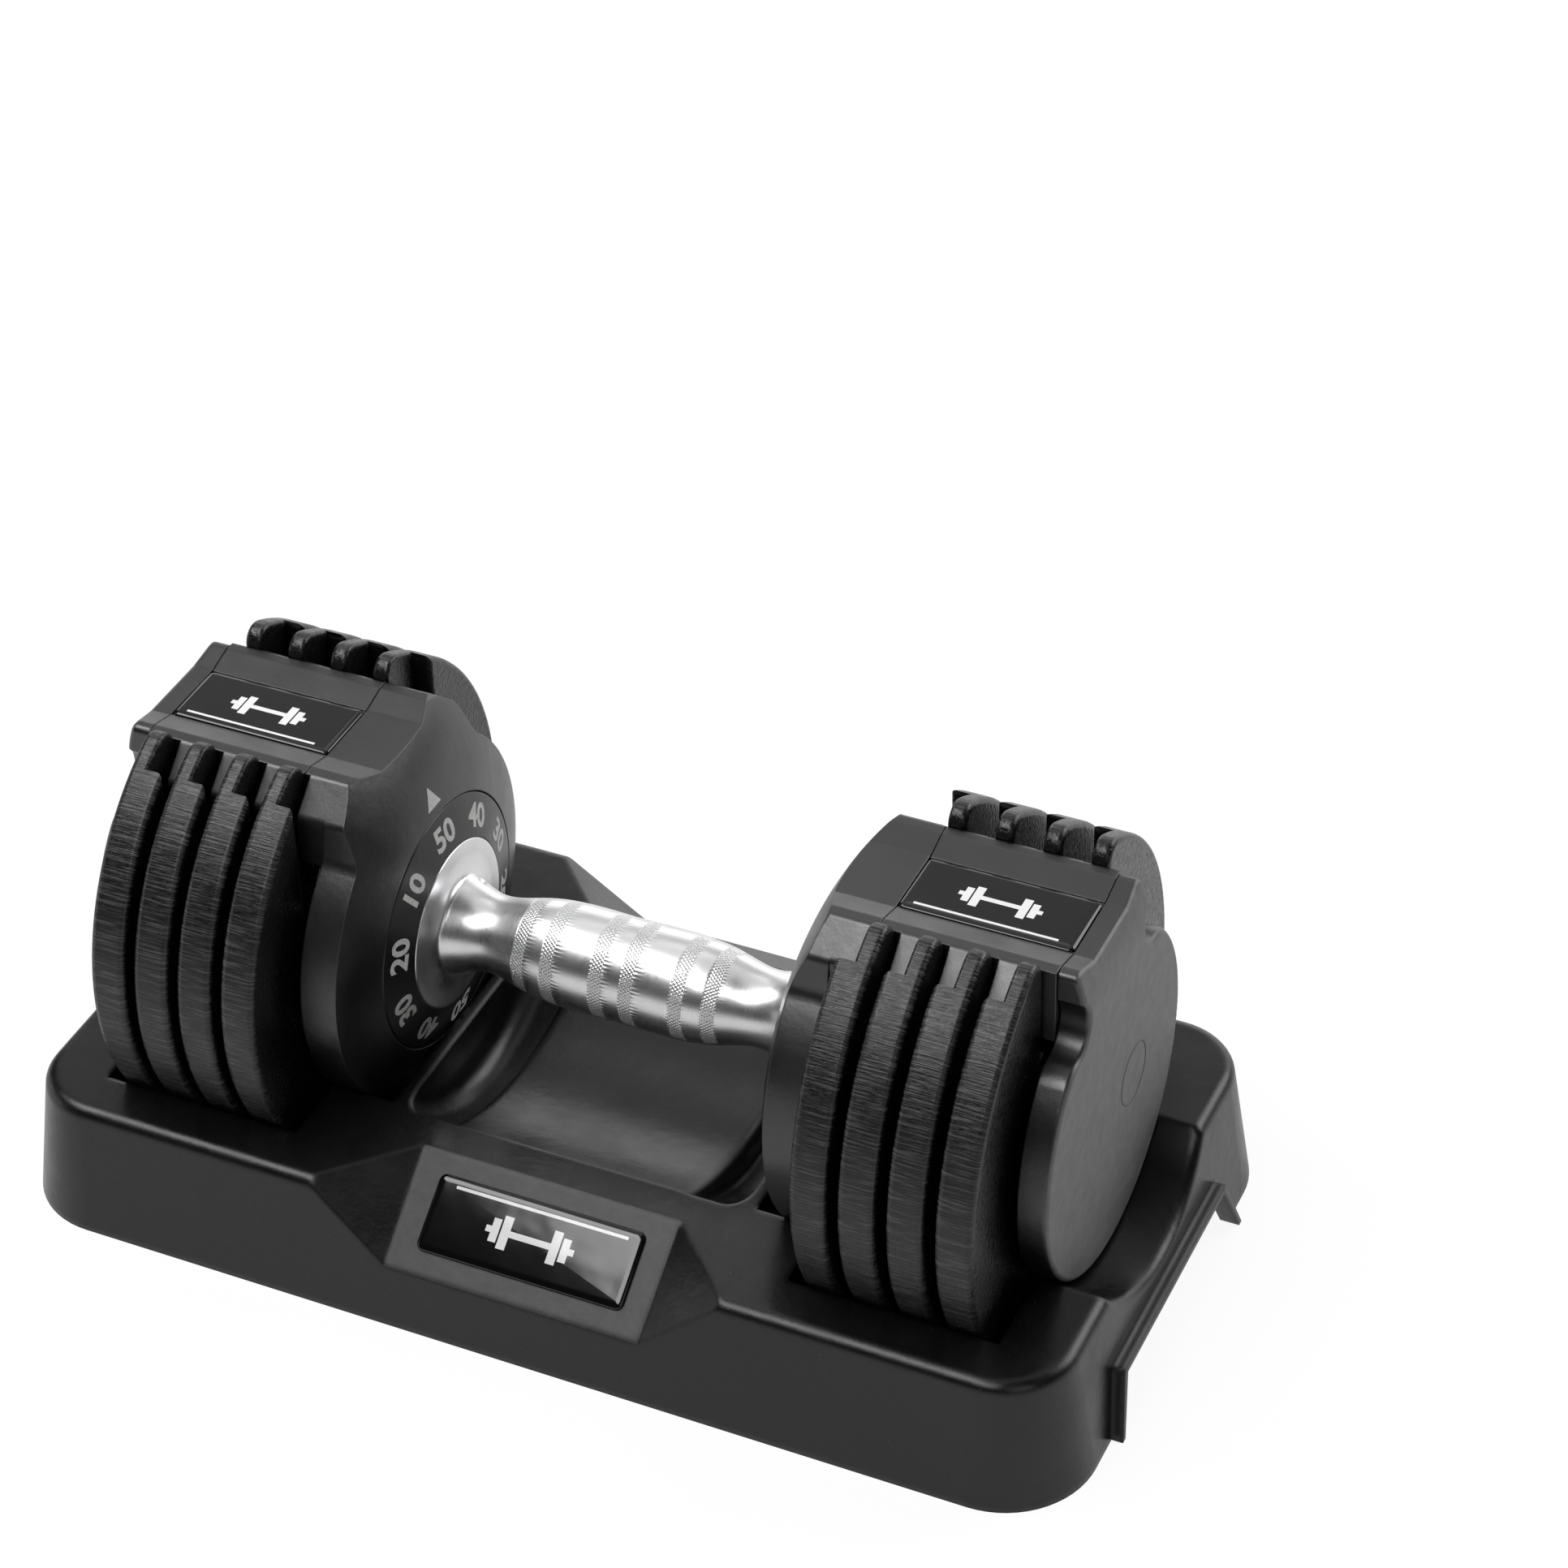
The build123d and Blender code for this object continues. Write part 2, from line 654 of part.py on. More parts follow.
# Grip: barrel, necks, end discs and the spigots that turn in the bushes
with BuildPart() as handle_grip:
    with BuildSketch(lengthwise):
        with BuildLine():
            Spline(
                (-grip_flare_x, grip_flare_radius),
                (-grip_neck_x, grip_neck_radius),
                (-grip_shoulder_x, grip_shoulder_radius),
                (0, grip_middle_radius),
                (grip_shoulder_x, grip_shoulder_radius),
                (grip_neck_x, grip_neck_radius),
                (grip_flare_x, grip_flare_radius),
            )
            for side in (-1, 1):
                Polyline(
                    (side * grip_flare_x, grip_flare_radius),
                    (side * grip_disc_face, grip_disc_radius - grip_disc_dish),
                    (side * grip_disc_face, grip_disc_radius),
                    (side * dial_face, grip_disc_radius),
                    (side * dial_face, spigot_radius),
                    (side * spigot_end, spigot_radius),
                    (side * spigot_end, shaft_radius + seat_fit),
                )
            Line((-spigot_end, shaft_radius + seat_fit), (spigot_end, shaft_radius + seat_fit))
        make_face()
    revolve(axis=axis_line)
    with BuildSketch(pin_plane):
        with Locations((-pin_x, 0), (pin_x, 0)):
            Circle(pin_radius + seat_fit)
    extrude(amount=grip_middle_radius, both=True, mode=Mode.SUBTRACT)
write("handle_grip", handle_grip.part)

with BuildPart() as handle_pin:
    with BuildSketch(pin_plane):
        with Locations((pin_x, 0)):
            Circle(pin_radius)
    extrude(amount=grip_neck_radius - free_gap, both=True)
write_pair("handle_pin", handle_pin.part)

# Shaft: round rod with two flats along the disc stack and a journal at each end
with BuildPart() as handle_shaft:
    with BuildSketch(station(-nut_end)):
        Circle(shaft_radius)
    extrude(amount=2 * nut_end)
    for first in (spigot_end, -nut_end):
        with BuildSketch(station(first)):
            with Locations((0, 2 * shaft_flat), (0, -2 * shaft_flat)):
                Rectangle(4 * shaft_radius, 2 * shaft_flat)
        extrude(amount=nut_end - spigot_end, mode=Mode.SUBTRACT)
    with BuildSketch(station(-journal_end)):
        Circle(journal_radius)
    extrude(amount=2 * journal_end)
    with BuildSketch(pin_plane):
        with Locations((-pin_x, 0), (pin_x, 0)):
            Circle(pin_radius + seat_fit)
    extrude(amount=grip_middle_radius, both=True, mode=Mode.SUBTRACT)
write("handle_shaft", handle_shaft.part)

# Outline of the hole that fits the flatted shaft
with BuildSketch() as shaft_hole:
    Circle(shaft_radius + seat_fit)
    Rectangle(4 * shaft_radius, 2 * (shaft_flat + seat_fit), mode=Mode.INTERSECT)

# Dial ring round the spigot: its coned face runs from the housing's dome up to the grip's disc
with BuildPart() as dial_ring:
    with BuildSketch(lengthwise):
        Polygon(
            (dial_face, spigot_radius + seat_fit),
            (dial_face, grip_disc_radius + seat_fit),
            (grip_disc_face + dial_lip_step, grip_disc_radius + seat_fit),
            (dial_face, dial_radius),
            (dial_face + dial_thickness, dial_radius),
            (dial_face + dial_thickness, spigot_radius + seat_fit),
            align=None,
        )
    revolve(axis=axis_line)
    chamfer(rims_of(dial_ring, dial_radius).sort_by(Axis.X)[:1], dial_gap)
write_pair("dial_ring", dial_ring.part)

# Bushes
with BuildPart() as inner_bush:
    with BuildSketch(station(dial_face + dial_thickness + dial_gap)):
        Circle(inner_bush_radius)
        Circle(spigot_radius + turn_fit, mode=Mode.SUBTRACT)
    extrude(amount=front_wall_end - dial_face - dial_thickness - dial_gap)
write_pair("inner_bush", inner_bush.part)

with BuildPart() as outer_bush:
    with BuildSketch(station(nut_end + free_gap)):
        Circle(outer_bush_radius)
        Circle(journal_radius + turn_fit, mode=Mode.SUBTRACT)
    extrude(amount=cap_inside - nut_end - free_gap)
write_pair("outer_bush", outer_bush.part)

# Lock disc: ten notches, one for every setting, on a hub that spaces it from the first selector disc
with BuildPart() as lock_disc:
    with BuildSketch(station(lock_disc_start)):
        Circle(lock_disc_radius)
        with PolarLocations(lock_disc_radius, 2 * setting_count, start_angle=90):
            Rectangle(2 * notch_depth, notch_width, mode=Mode.SUBTRACT)
    extrude(amount=lock_disc_thickness)
    with BuildSketch(station(spigot_end)):
        Circle(sleeve_radius)
    extrude(amount=hub_end - spigot_end)
    with BuildSketch(station(spigot_end)):
        add(shaft_hole.sketch)
    extrude(amount=hub_end - spigot_end, mode=Mode.SUBTRACT)
write_pair("lock_disc", lock_disc.part)

# Lock slider: window plate round the lock disc, with a tooth above it and a foot below
with BuildPart() as lock_slider:
    with BuildSketch(station(lock_slot_centre - slider_thickness / 2)):
        with Locations((0, (slider_top + slider_bottom) / 2)):
            Rectangle(2 * slider_half_width, slider_top - slider_bottom)
        with Locations((0, (window_top + window_bottom) / 2)):
            Rectangle(2 * window_half_width, window_top - window_bottom, mode=Mode.SUBTRACT)
        with Locations((0, (window_top + tooth_tip) / 2)):
            Rectangle(tooth_width, window_top - tooth_tip)
        with Locations((0, (slider_bottom + foot_tip) / 2)):
            Rectangle(2 * foot_half_width, slider_bottom - foot_tip)
    extrude(amount=slider_thickness)
write_pair("lock_slider", lock_slider.part)

# Lock spring: leaf bowed between the slider and the roof of the housing's room
leaf_base = slider_top + free_gap
leaf_crown = leaf_base + leaf_rise
with BuildPart() as lock_spring:
    with BuildSketch(station(lock_slot_centre - leaf_width / 2)):
        with BuildLine():
            ThreePointArc((-leaf_half_length, leaf_base), (0, leaf_crown), (leaf_half_length, leaf_base))
            Line((leaf_half_length, leaf_base), (leaf_half_length, leaf_base + leaf_thickness))
            ThreePointArc(
                (leaf_half_length, leaf_base + leaf_thickness),
                (0, leaf_crown + leaf_thickness),
                (-leaf_half_length, leaf_base + leaf_thickness),
            )
            Line((-leaf_half_length, leaf_base + leaf_thickness), (-leaf_half_length, leaf_base))
        make_face()
    extrude(amount=leaf_width)
write_pair("lock_spring", lock_spring.part)

# Selector discs: the round part holds a plate, and a flat faces the slot's throat where the plate is let go
for plate in range(plate_count):
    with BuildPart() as selector_disc:
        with BuildSketch(station(first_disc + plate * plate_pitch)):
            Circle(selector_radius)
            for setting in range(plate + 1):
                Rectangle(
                    2 * selector_flat,
                    4 * selector_radius,
                    rotation=-setting_step * (setting_count - 1 - setting),
                    mode=Mode.INTERSECT,
                )
            add(shaft_hole.sketch, mode=Mode.SUBTRACT)
        extrude(amount=disc_thickness)
    write_pair("selector_disc", selector_disc.part, f"_{plate + 1}")

# Sleeves between the discs
with BuildPart() as shaft_spacers:
    for plate in range(plate_count):
        with BuildSketch(station(first_disc + plate * plate_pitch - sleeve_length)):
            Circle(sleeve_radius)
            add(shaft_hole.sketch, mode=Mode.SUBTRACT)
        extrude(amount=sleeve_length)
write_pair("shaft_spacers", shaft_spacers.part)

# Washer and nut that hold the stack
with BuildPart() as shaft_washer:
    with BuildSketch(station(stack_end)):
        Circle(washer_radius)
        add(shaft_hole.sketch, mode=Mode.SUBTRACT)
    extrude(amount=washer_thickness)
write_pair("shaft_washer", shaft_washer.part)

with BuildPart() as shaft_nut:
    with BuildSketch(station(nut_start)):
        RegularPolygon(nut_across_flats / 2, 6, major_radius=False)
        Circle(shaft_radius + seat_fit, mode=Mode.SUBTRACT)
    extrude(amount=nut_height)
write_pair("shaft_nut", shaft_nut.part)

# Plates: round, slotted from above, thinned beside the slot, with two horns beside the roof
for plate in range(plate_count):
    inner_side = plate_start + plate * plate_pitch
    web_side = web_start + plate * plate_pitch
    with BuildPart() as weight_plate:
        with BuildSketch(station(inner_side)) as plate_outline:
            Circle(plate_radius)
            Circle(slot_hole_radius, mode=Mode.SUBTRACT)
            with Locations((0, plate_radius)):
                Rectangle(2 * slot_half_width, 2 * plate_radius, mode=Mode.SUBTRACT)
            fillet(plate_outline.vertices().sort_by(Axis.Y)[-2:], horn_round)
        extrude(amount=plate_thickness)
        with BuildSketch(station(inner_side)):
            with Locations((0, web_bottom + plate_radius)):
                Rectangle(2 * web_half_width, 2 * plate_radius)
        extrude(amount=plate_thickness - web_thickness, mode=Mode.SUBTRACT)
        fillet(cheeks(weight_plate, inner_side + plate_thickness).edges(), rim_round)
        fillet(cheeks(weight_plate, inner_side).edges(), rim_round)
        web_arcs = cheeks(weight_plate, web_side).edges().filter_by(GeomType.CIRCLE)
        fillet(web_arcs.filter_by(lambda e: abs(e.radius - slot_hole_radius) > same_place), web_round)
    write_pair("plate", weight_plate.part, f"_{plate + 1}")
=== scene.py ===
"""Looks of an adjustable dumbbell that rests in its storage tray.

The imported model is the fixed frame: X along the handle, Y to the back, Z up, in metres.
Sizes in the classes are millimetres, and MM turns them into metres.
"""
import json
import logging
from collections.abc import Mapping
from dataclasses import dataclass, field
from enum import Enum
from typing import Any

import bpy
import numpy as np
from bpy.types import Material, Node, NodeSocket, NodeTree, Object
from mathutils import Matrix, Vector


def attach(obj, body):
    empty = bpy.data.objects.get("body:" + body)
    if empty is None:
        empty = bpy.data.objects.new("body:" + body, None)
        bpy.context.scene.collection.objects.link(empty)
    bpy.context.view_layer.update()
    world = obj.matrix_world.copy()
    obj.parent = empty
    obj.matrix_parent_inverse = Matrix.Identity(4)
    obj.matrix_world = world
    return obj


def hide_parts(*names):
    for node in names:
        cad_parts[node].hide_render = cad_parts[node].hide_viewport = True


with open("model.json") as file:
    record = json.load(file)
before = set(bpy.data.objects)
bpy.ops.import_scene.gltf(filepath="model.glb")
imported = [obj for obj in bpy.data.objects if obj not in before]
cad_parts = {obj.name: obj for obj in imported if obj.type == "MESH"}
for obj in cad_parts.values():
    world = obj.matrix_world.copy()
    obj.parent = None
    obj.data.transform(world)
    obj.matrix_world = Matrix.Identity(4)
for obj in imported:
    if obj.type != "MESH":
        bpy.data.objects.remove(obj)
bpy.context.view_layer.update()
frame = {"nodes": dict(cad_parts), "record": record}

Point = tuple[float, float, float]
Box = tuple[float, float, float, float]
LOG = logging.getLogger("dumbbell")
MM = 0.001
AXIS_HEIGHT = 99.4
SIDES = {"left": -1, "right": 1}
QUARTER = np.linspace(0, np.pi / 2, 9)
WHITE = "#ffffff"
# Values between which a noise texture mostly stays.
NOISE_SPAN = {"From Min": 0.3, "From Max": 0.7}
# Socket numbers of the Mix node, which has a pair of inputs for each kind of data.
FACTOR, NUMBER_A, NUMBER_B, COLOUR_A, COLOUR_B, COLOUR_OUT = 0, 2, 3, 6, 7, 2


class Slot(Enum):
    """Names of four material slots of the record."""

    GRIP = "grip_steel"
    DIAL = "dial_plastic"
    HEAD = "head_plastic"
    LABEL = "label_resin"


class MattPaintedLightArea(Enum):
    """Areas of the mouldings that are textured in the mould and so less glossy. They also get a
    lighter grey that is painted light: the light these faces catch, painted into their colour.
    """

    PANEL = "sloped panels of the tray"
    CAP = "outer faces of the end caps"


@dataclass(frozen=True)
class CapFace:
    """Outer face of an end cap: flat, then bowed inwards from a height above the handle's axis."""

    face: float = 190.8
    bow_start: float = 60.0
    bow_end: float = 80.2
    bow_depth: float = 4.0
    fade_start: float = 1.2
    fade_end: float = 0.6


@dataclass(frozen=True)
class TrayPanel:
    """Plane of the sloped front panel of the tray, by its top and bottom edges."""

    top_y: float = -71.6
    top_z: float = 54.0
    half_width: float = 112.9
    draft: float = 8.4
    bottom_z: float = 26.3
    half_length: float = 52.0
    play: float = 0.25

    def down(self) -> np.ndarray:
        """Unit direction down the slope."""
        inset = np.tan(np.radians(self.draft)) * self.bottom_z
        step = np.array([0, -(self.half_width - inset) - self.top_y, self.bottom_z - self.top_z])
        return step / np.linalg.norm(step)

    def normal(self) -> np.ndarray:
        """Unit direction out of the panel."""
        return np.cross(self.down(), [1, 0, 0])

    def top(self) -> np.ndarray:
        """Middle of the panel's top edge, in metres."""
        return np.array([0, self.top_y, self.top_z]) * MM


def linear(hex_colour: str) -> tuple[float, float, float, float]:
    """Turn an sRGB hex colour into linear light.

    Args:
        hex_colour: colour written as #rrggbb.

    Returns:
        Red, green, blue and full alpha.
    """
    srgb = np.array([int(hex_colour[i:i + 2], 16) for i in (1, 3, 5)]) / 255
    rgb = np.where(srgb <= 0.04045, srgb / 12.92, ((srgb + 0.055) / 1.055) ** 2.4)
    return (float(rgb[0]), float(rgb[1]), float(rgb[2]), 1.0)


def add_node(tree: NodeTree, kind: str, inputs: Mapping[Any, Any] | None = None,
             **settings: Any) -> Node:
    """Add one shader node with its settings, and set or link its inputs.

    Args:
        tree: node tree that gets the node.
        kind: Blender's type name of the node, without the ShaderNode that it starts with.
        inputs: socket name or number to a constant or to another node's output.
        settings: properties of the node.

    Returns:
        The new node.
    """
    node = tree.nodes.new(f"ShaderNode{kind}")
    for key, value in settings.items():
        setattr(node, key, value)
    for key, value in (inputs or {}).items():
        if isinstance(value, NodeSocket):
            tree.links.new(value, node.inputs[key])
        else:
            node.inputs[key].default_value = value
    return node


def start_material(name: str) -> tuple[Material, NodeTree, NodeSocket]:
    """Make an empty node material.

    Args:
        name: name of the material.

    Returns:
        The material, its node tree and the Object coordinates that every pattern reads.
    """
    material = bpy.data.materials.new(name)
    material.use_nodes = True
    tree = material.node_tree
    tree.nodes.clear()
    where = add_node(tree, "TexCoord").outputs["Object"]
    return material, tree, where


def end_material(tree: NodeTree, inputs: Mapping[str, Any]) -> None:
    """Add the Principled shader with these inputs and the material's output.

    Args:
        tree: node tree of the material.
        inputs: the shader's socket names to constants or links.
    """
    shader = add_node(tree, "BsdfPrincipled", inputs)
    add_node(tree, "OutputMaterial", {"Surface": shader.outputs[0]})


def uneven_gloss(tree: NodeTree, noise: NodeSocket, middle: float, swing: float) -> NodeSocket:
    """Let a noise carry the roughness below and above a middle value.

    Args:
        tree: node tree of the material.
        noise: the noise.
        middle: roughness at the middle of the noise.
        swing: how far it goes to either side.

    Returns:
        The roughness.
    """
    return add_node(tree, "MapRange", {"Value": noise, **NOISE_SPAN, "To Min": middle - swing,
                                       "To Max": middle + swing}).outputs[0]


def round_axis(tree: NodeTree, where: NodeSocket) -> tuple[NodeSocket, ...]:
    """Read where each point lies round the handle's axis.

    The angle is the arctangent of y over the height above the axis.

    Args:
        tree: node tree of the material.
        where: Object coordinates.

    Returns:
        The point's x, its y, its height above the axis and its angle from straight up.
    """
    parts = add_node(tree, "SeparateXYZ", {"Vector": where})
    height = add_node(tree, "Math", {0: parts.outputs["Z"], 1: AXIS_HEIGHT * MM},
                      operation="SUBTRACT")
    turn = add_node(tree, "Math", {0: parts.outputs["Y"], 1: height.outputs[0]},
                    operation="ARCTAN2")
    return parts.outputs["X"], parts.outputs["Y"], height.outputs[0], turn.outputs[0]


@dataclass(frozen=True)
class MouldedPlastic:
    """Black ABS or polypropylene from a spark-eroded mould.

    It shows a fine grain, dull patches, softly rounded edges and a few pale specks of dust. Its
    matt area is less glossy and gets a lighter grey that is painted light, standing in for the
    light that area catches.
    """

    name: str
    colour: str
    speck_colour: str
    roughness: float
    grain: float = 0.45
    grain_depth: float = 0.02
    mottle: float = 6.0
    mottle_depth: float = 0.12
    patch: float = 26.0
    patch_contrast: float = 0.14
    speck_spacing: float = 7.0
    speck_size: float = 0.035
    edge_round: float = 0.8
    edge_samples: int = 6
    matt_painted_light_area: MattPaintedLightArea | None = None
    matt_painted_light_colour: str = "#0c0c0d"
    matt_roughness: float = 0.8
    ior: float = 1.5

    def material(self) -> Material:
        """Build the node material.

        Returns:
            The finished material.
        """
        material, tree, where = start_material(self.name)
        patch = add_node(tree, "TexNoise", {"Vector": where, "Scale": 1 / (self.patch * MM),
                                            "Detail": 4.0, "Roughness": 0.6})
        rough = uneven_gloss(tree, patch.outputs[0], self.roughness, self.patch_contrast / 2)
        specks = add_node(tree, "TexVoronoi",
                          {"Vector": where, "Scale": 1 / (self.speck_spacing * MM)})
        is_speck = add_node(tree, "Math", {0: specks.outputs["Distance"], 1: self.speck_size},
                            operation="LESS_THAN")
        mottle = add_node(tree, "TexNoise", {"Vector": where, "Scale": 1 / (self.mottle * MM),
                                             "Detail": 3.0, "Roughness": 0.6})
        colour: Any = linear(self.colour)
        # Painted light: the matt area is mixed towards a lighter grey for the light it catches; the
        # mottle only varies that grey.
        if self.matt_painted_light_area:
            masks = {MattPaintedLightArea.PANEL: self.panel_mask, MattPaintedLightArea.CAP: self.cap_mask}
            area = masks[self.matt_painted_light_area](tree, where)
            cloud = add_node(tree, "MapRange", {"Value": mottle.outputs[0], "From Min": 0.35,
                                                "From Max": 0.65, "To Min": 0.7, "To Max": 1.0})
            cover = add_node(tree, "Math", {0: area, 1: cloud.outputs[0]}, operation="MULTIPLY")
            colour = add_node(tree, "Mix", {FACTOR: cover.outputs[0], COLOUR_A: colour,
                                            COLOUR_B: linear(self.matt_painted_light_colour)},
                              data_type="RGBA").outputs[COLOUR_OUT]
            rough = add_node(tree, "Mix", {FACTOR: area, NUMBER_A: rough,
                                           NUMBER_B: self.matt_roughness},
                             data_type="FLOAT").outputs[0]
        colour = add_node(tree, "Mix", {FACTOR: is_speck.outputs[0], COLOUR_A: colour,
                                        COLOUR_B: linear(self.speck_colour)},
                          data_type="RGBA").outputs[COLOUR_OUT]
        grain = add_node(tree, "TexNoise",
                         {"Vector": where, "Scale": 1 / (self.grain * MM), "Detail": 2.0})
        edges = add_node(tree, "Bevel", {"Radius": self.edge_round * MM},
                         samples=self.edge_samples)
        skin = add_node(tree, "Bump",
                        {"Height": mottle.outputs[0], "Distance": self.mottle_depth * MM,
                         "Normal": edges.outputs[0]})
        bump = add_node(tree, "Bump",
                        {"Height": grain.outputs[0], "Distance": self.grain_depth * MM,
                         "Normal": skin.outputs[0]})
        end_material(tree, {"Base Color": colour, "Roughness": rough, "IOR": self.ior,
                            "Normal": bump.outputs[0]})
        return material

    def panel_mask(self, tree: NodeTree, where: NodeSocket) -> NodeSocket:
        """Pick out the sloped panels, front and back, by their distance from the panel's plane.

        Args:
            tree: node tree of the material.
            where: Object coordinates.

        Returns:
            One on the panels and zero elsewhere.
        """
        panel = TrayPanel()
        fold = np.array([1, -1, 1])
        outward = panel.normal() * fold
        level = float(outward @ (panel.top() * fold))
        folded = add_node(tree, "VectorMath", {0: where}, operation="ABSOLUTE")
        height = add_node(tree, "VectorMath", {0: folded.outputs[0], 1: tuple(outward)},
                          operation="DOT_PRODUCT")
        in_plane = add_node(tree, "Math", {0: height.outputs["Value"], 1: level,
                                           2: panel.play * MM}, operation="COMPARE")
        across = add_node(tree, "SeparateXYZ", {"Vector": folded.outputs[0]})
        between = add_node(tree, "Math", {0: across.outputs["X"], 1: panel.half_length * MM},
                           operation="LESS_THAN")
        return add_node(tree, "Math", {0: in_plane.outputs[0], 1: between.outputs[0]},
                        operation="MULTIPLY").outputs[0]

    def cap_mask(self, tree: NodeTree, where: NodeSocket) -> NodeSocket:
        """Pick out the outer faces of the end caps.

        A face is flat, and near the top it bows inwards as the square of the height.

        Args:
            tree: node tree of the material.
            where: Object coordinates.

        Returns:
            One on the two faces and zero elsewhere.
        """
        cap = CapFace()
        folded = add_node(tree, "VectorMath", {0: where}, operation="ABSOLUTE")
        parts = add_node(tree, "SeparateXYZ", {"Vector": folded.outputs[0]})
        rise = add_node(tree, "MapRange",
                        {"Value": parts.outputs["Z"],
                         "From Min": (AXIS_HEIGHT + cap.bow_start) * MM,
                         "From Max": (AXIS_HEIGHT + cap.bow_end) * MM})
        square = add_node(tree, "Math", {0: rise.outputs[0], 1: 2.0}, operation="POWER")
        face = add_node(tree, "Math", {0: square.outputs[0], 1: cap.bow_depth * MM,
                                       2: parts.outputs["X"]}, operation="MULTIPLY_ADD")
        return add_node(tree, "MapRange",
                        {"Value": face.outputs[0], "From Min": (cap.face - cap.fade_start) * MM,
                         "From Max": (cap.face - cap.fade_end) * MM}).outputs[0]


@dataclass(frozen=True)
class PaintedIron:
    """Black paint over cast iron.

    It shows ground streaks across the rim, where the paint is worn thin, and orange peel elsewhere.
    """

    name: str = "cast iron, black paint"
    colour: str = "#0b0b0c"
    worn_colour: str = "#404041"
    worn_from: float = 0.5
    worn_to: float = 0.62
    roughness: float = 0.33
    gloss_swing: float = 0.08
    peel: float = 1.5
    peel_depth: float = 0.3
    rim_peel: float = 0.1
    grain: float = 0.5
    grain_depth: float = 0.02
    streak_width: float = 0.75
    streak_length: float = 22.0
    streak_depth: float = 0.26
    rim_radius: float = 95.0
    rim_band: float = 2.6
    ior: float = 1.46

    def material(self) -> Material:
        """Build the node material.

        Returns:
            The finished material.
        """
        material, tree, where = start_material(self.name)
        x, y, height, turn = round_axis(tree, where)
        arc = add_node(tree, "Math", {0: turn, 1: self.rim_radius / self.streak_width},
                       operation="MULTIPLY")
        along = add_node(tree, "Math", {0: x, 1: 1 / (self.streak_length * MM)},
                         operation="MULTIPLY")
        rim_place = add_node(tree, "CombineXYZ", {"X": arc.outputs[0], "Y": along.outputs[0]})
        streak = add_node(tree, "TexNoise", {"Vector": rim_place.outputs[0], "Scale": 1.0,
                                             "Detail": 3.0, "Roughness": 0.65})
        flat = add_node(tree, "CombineXYZ", {"X": y, "Y": height})
        reach = add_node(tree, "VectorMath", {0: flat.outputs[0]}, operation="LENGTH")
        on_rim = add_node(tree, "MapRange",
                          {"Value": reach.outputs["Value"],
                           "From Min": (self.rim_radius - self.rim_band) * MM,
                           "From Max": (self.rim_radius - self.rim_band / 2) * MM})
        peel = add_node(tree, "TexNoise", {"Vector": where, "Scale": 1 / (self.peel * MM),
                                           "Detail": 2.0, "Roughness": 0.5})
        grain = add_node(tree, "TexNoise",
                         {"Vector": where, "Scale": 1 / (self.grain * MM), "Detail": 2.0})
        off_rim = add_node(tree, "MapRange", {"Value": on_rim.outputs[0], "To Min": 1.0,
                                              "To Max": self.rim_peel})
        skin = add_node(tree, "Bump",
                        {"Height": peel.outputs[0], "Distance": self.peel_depth * MM,
                         "Strength": off_rim.outputs[0]})
        streaks = add_node(tree, "Bump",
                           {"Height": streak.outputs[0], "Distance": self.streak_depth * MM,
                            "Strength": on_rim.outputs[0], "Normal": skin.outputs[0]})
        sand = add_node(tree, "Bump",
                        {"Height": grain.outputs[0], "Distance": self.grain_depth * MM,
                         "Normal": streaks.outputs[0]})
        worn = add_node(tree, "MapRange", {"Value": streak.outputs[0], "From Min": self.worn_from,
                                           "From Max": self.worn_to})
        share = add_node(tree, "Math", {0: worn.outputs[0], 1: on_rim.outputs[0]},
                         operation="MULTIPLY")
        colour = add_node(tree, "Mix", {FACTOR: share.outputs[0], COLOUR_A: linear(self.colour),
                                        COLOUR_B: linear(self.worn_colour)}, data_type="RGBA")
        rough = uneven_gloss(tree, peel.outputs[0], self.roughness, self.gloss_swing)
        end_material(tree, {"Base Color": colour.outputs[COLOUR_OUT], "Roughness": rough,
                            "IOR": self.ior, "Normal": sand.outputs[0]})
        return material


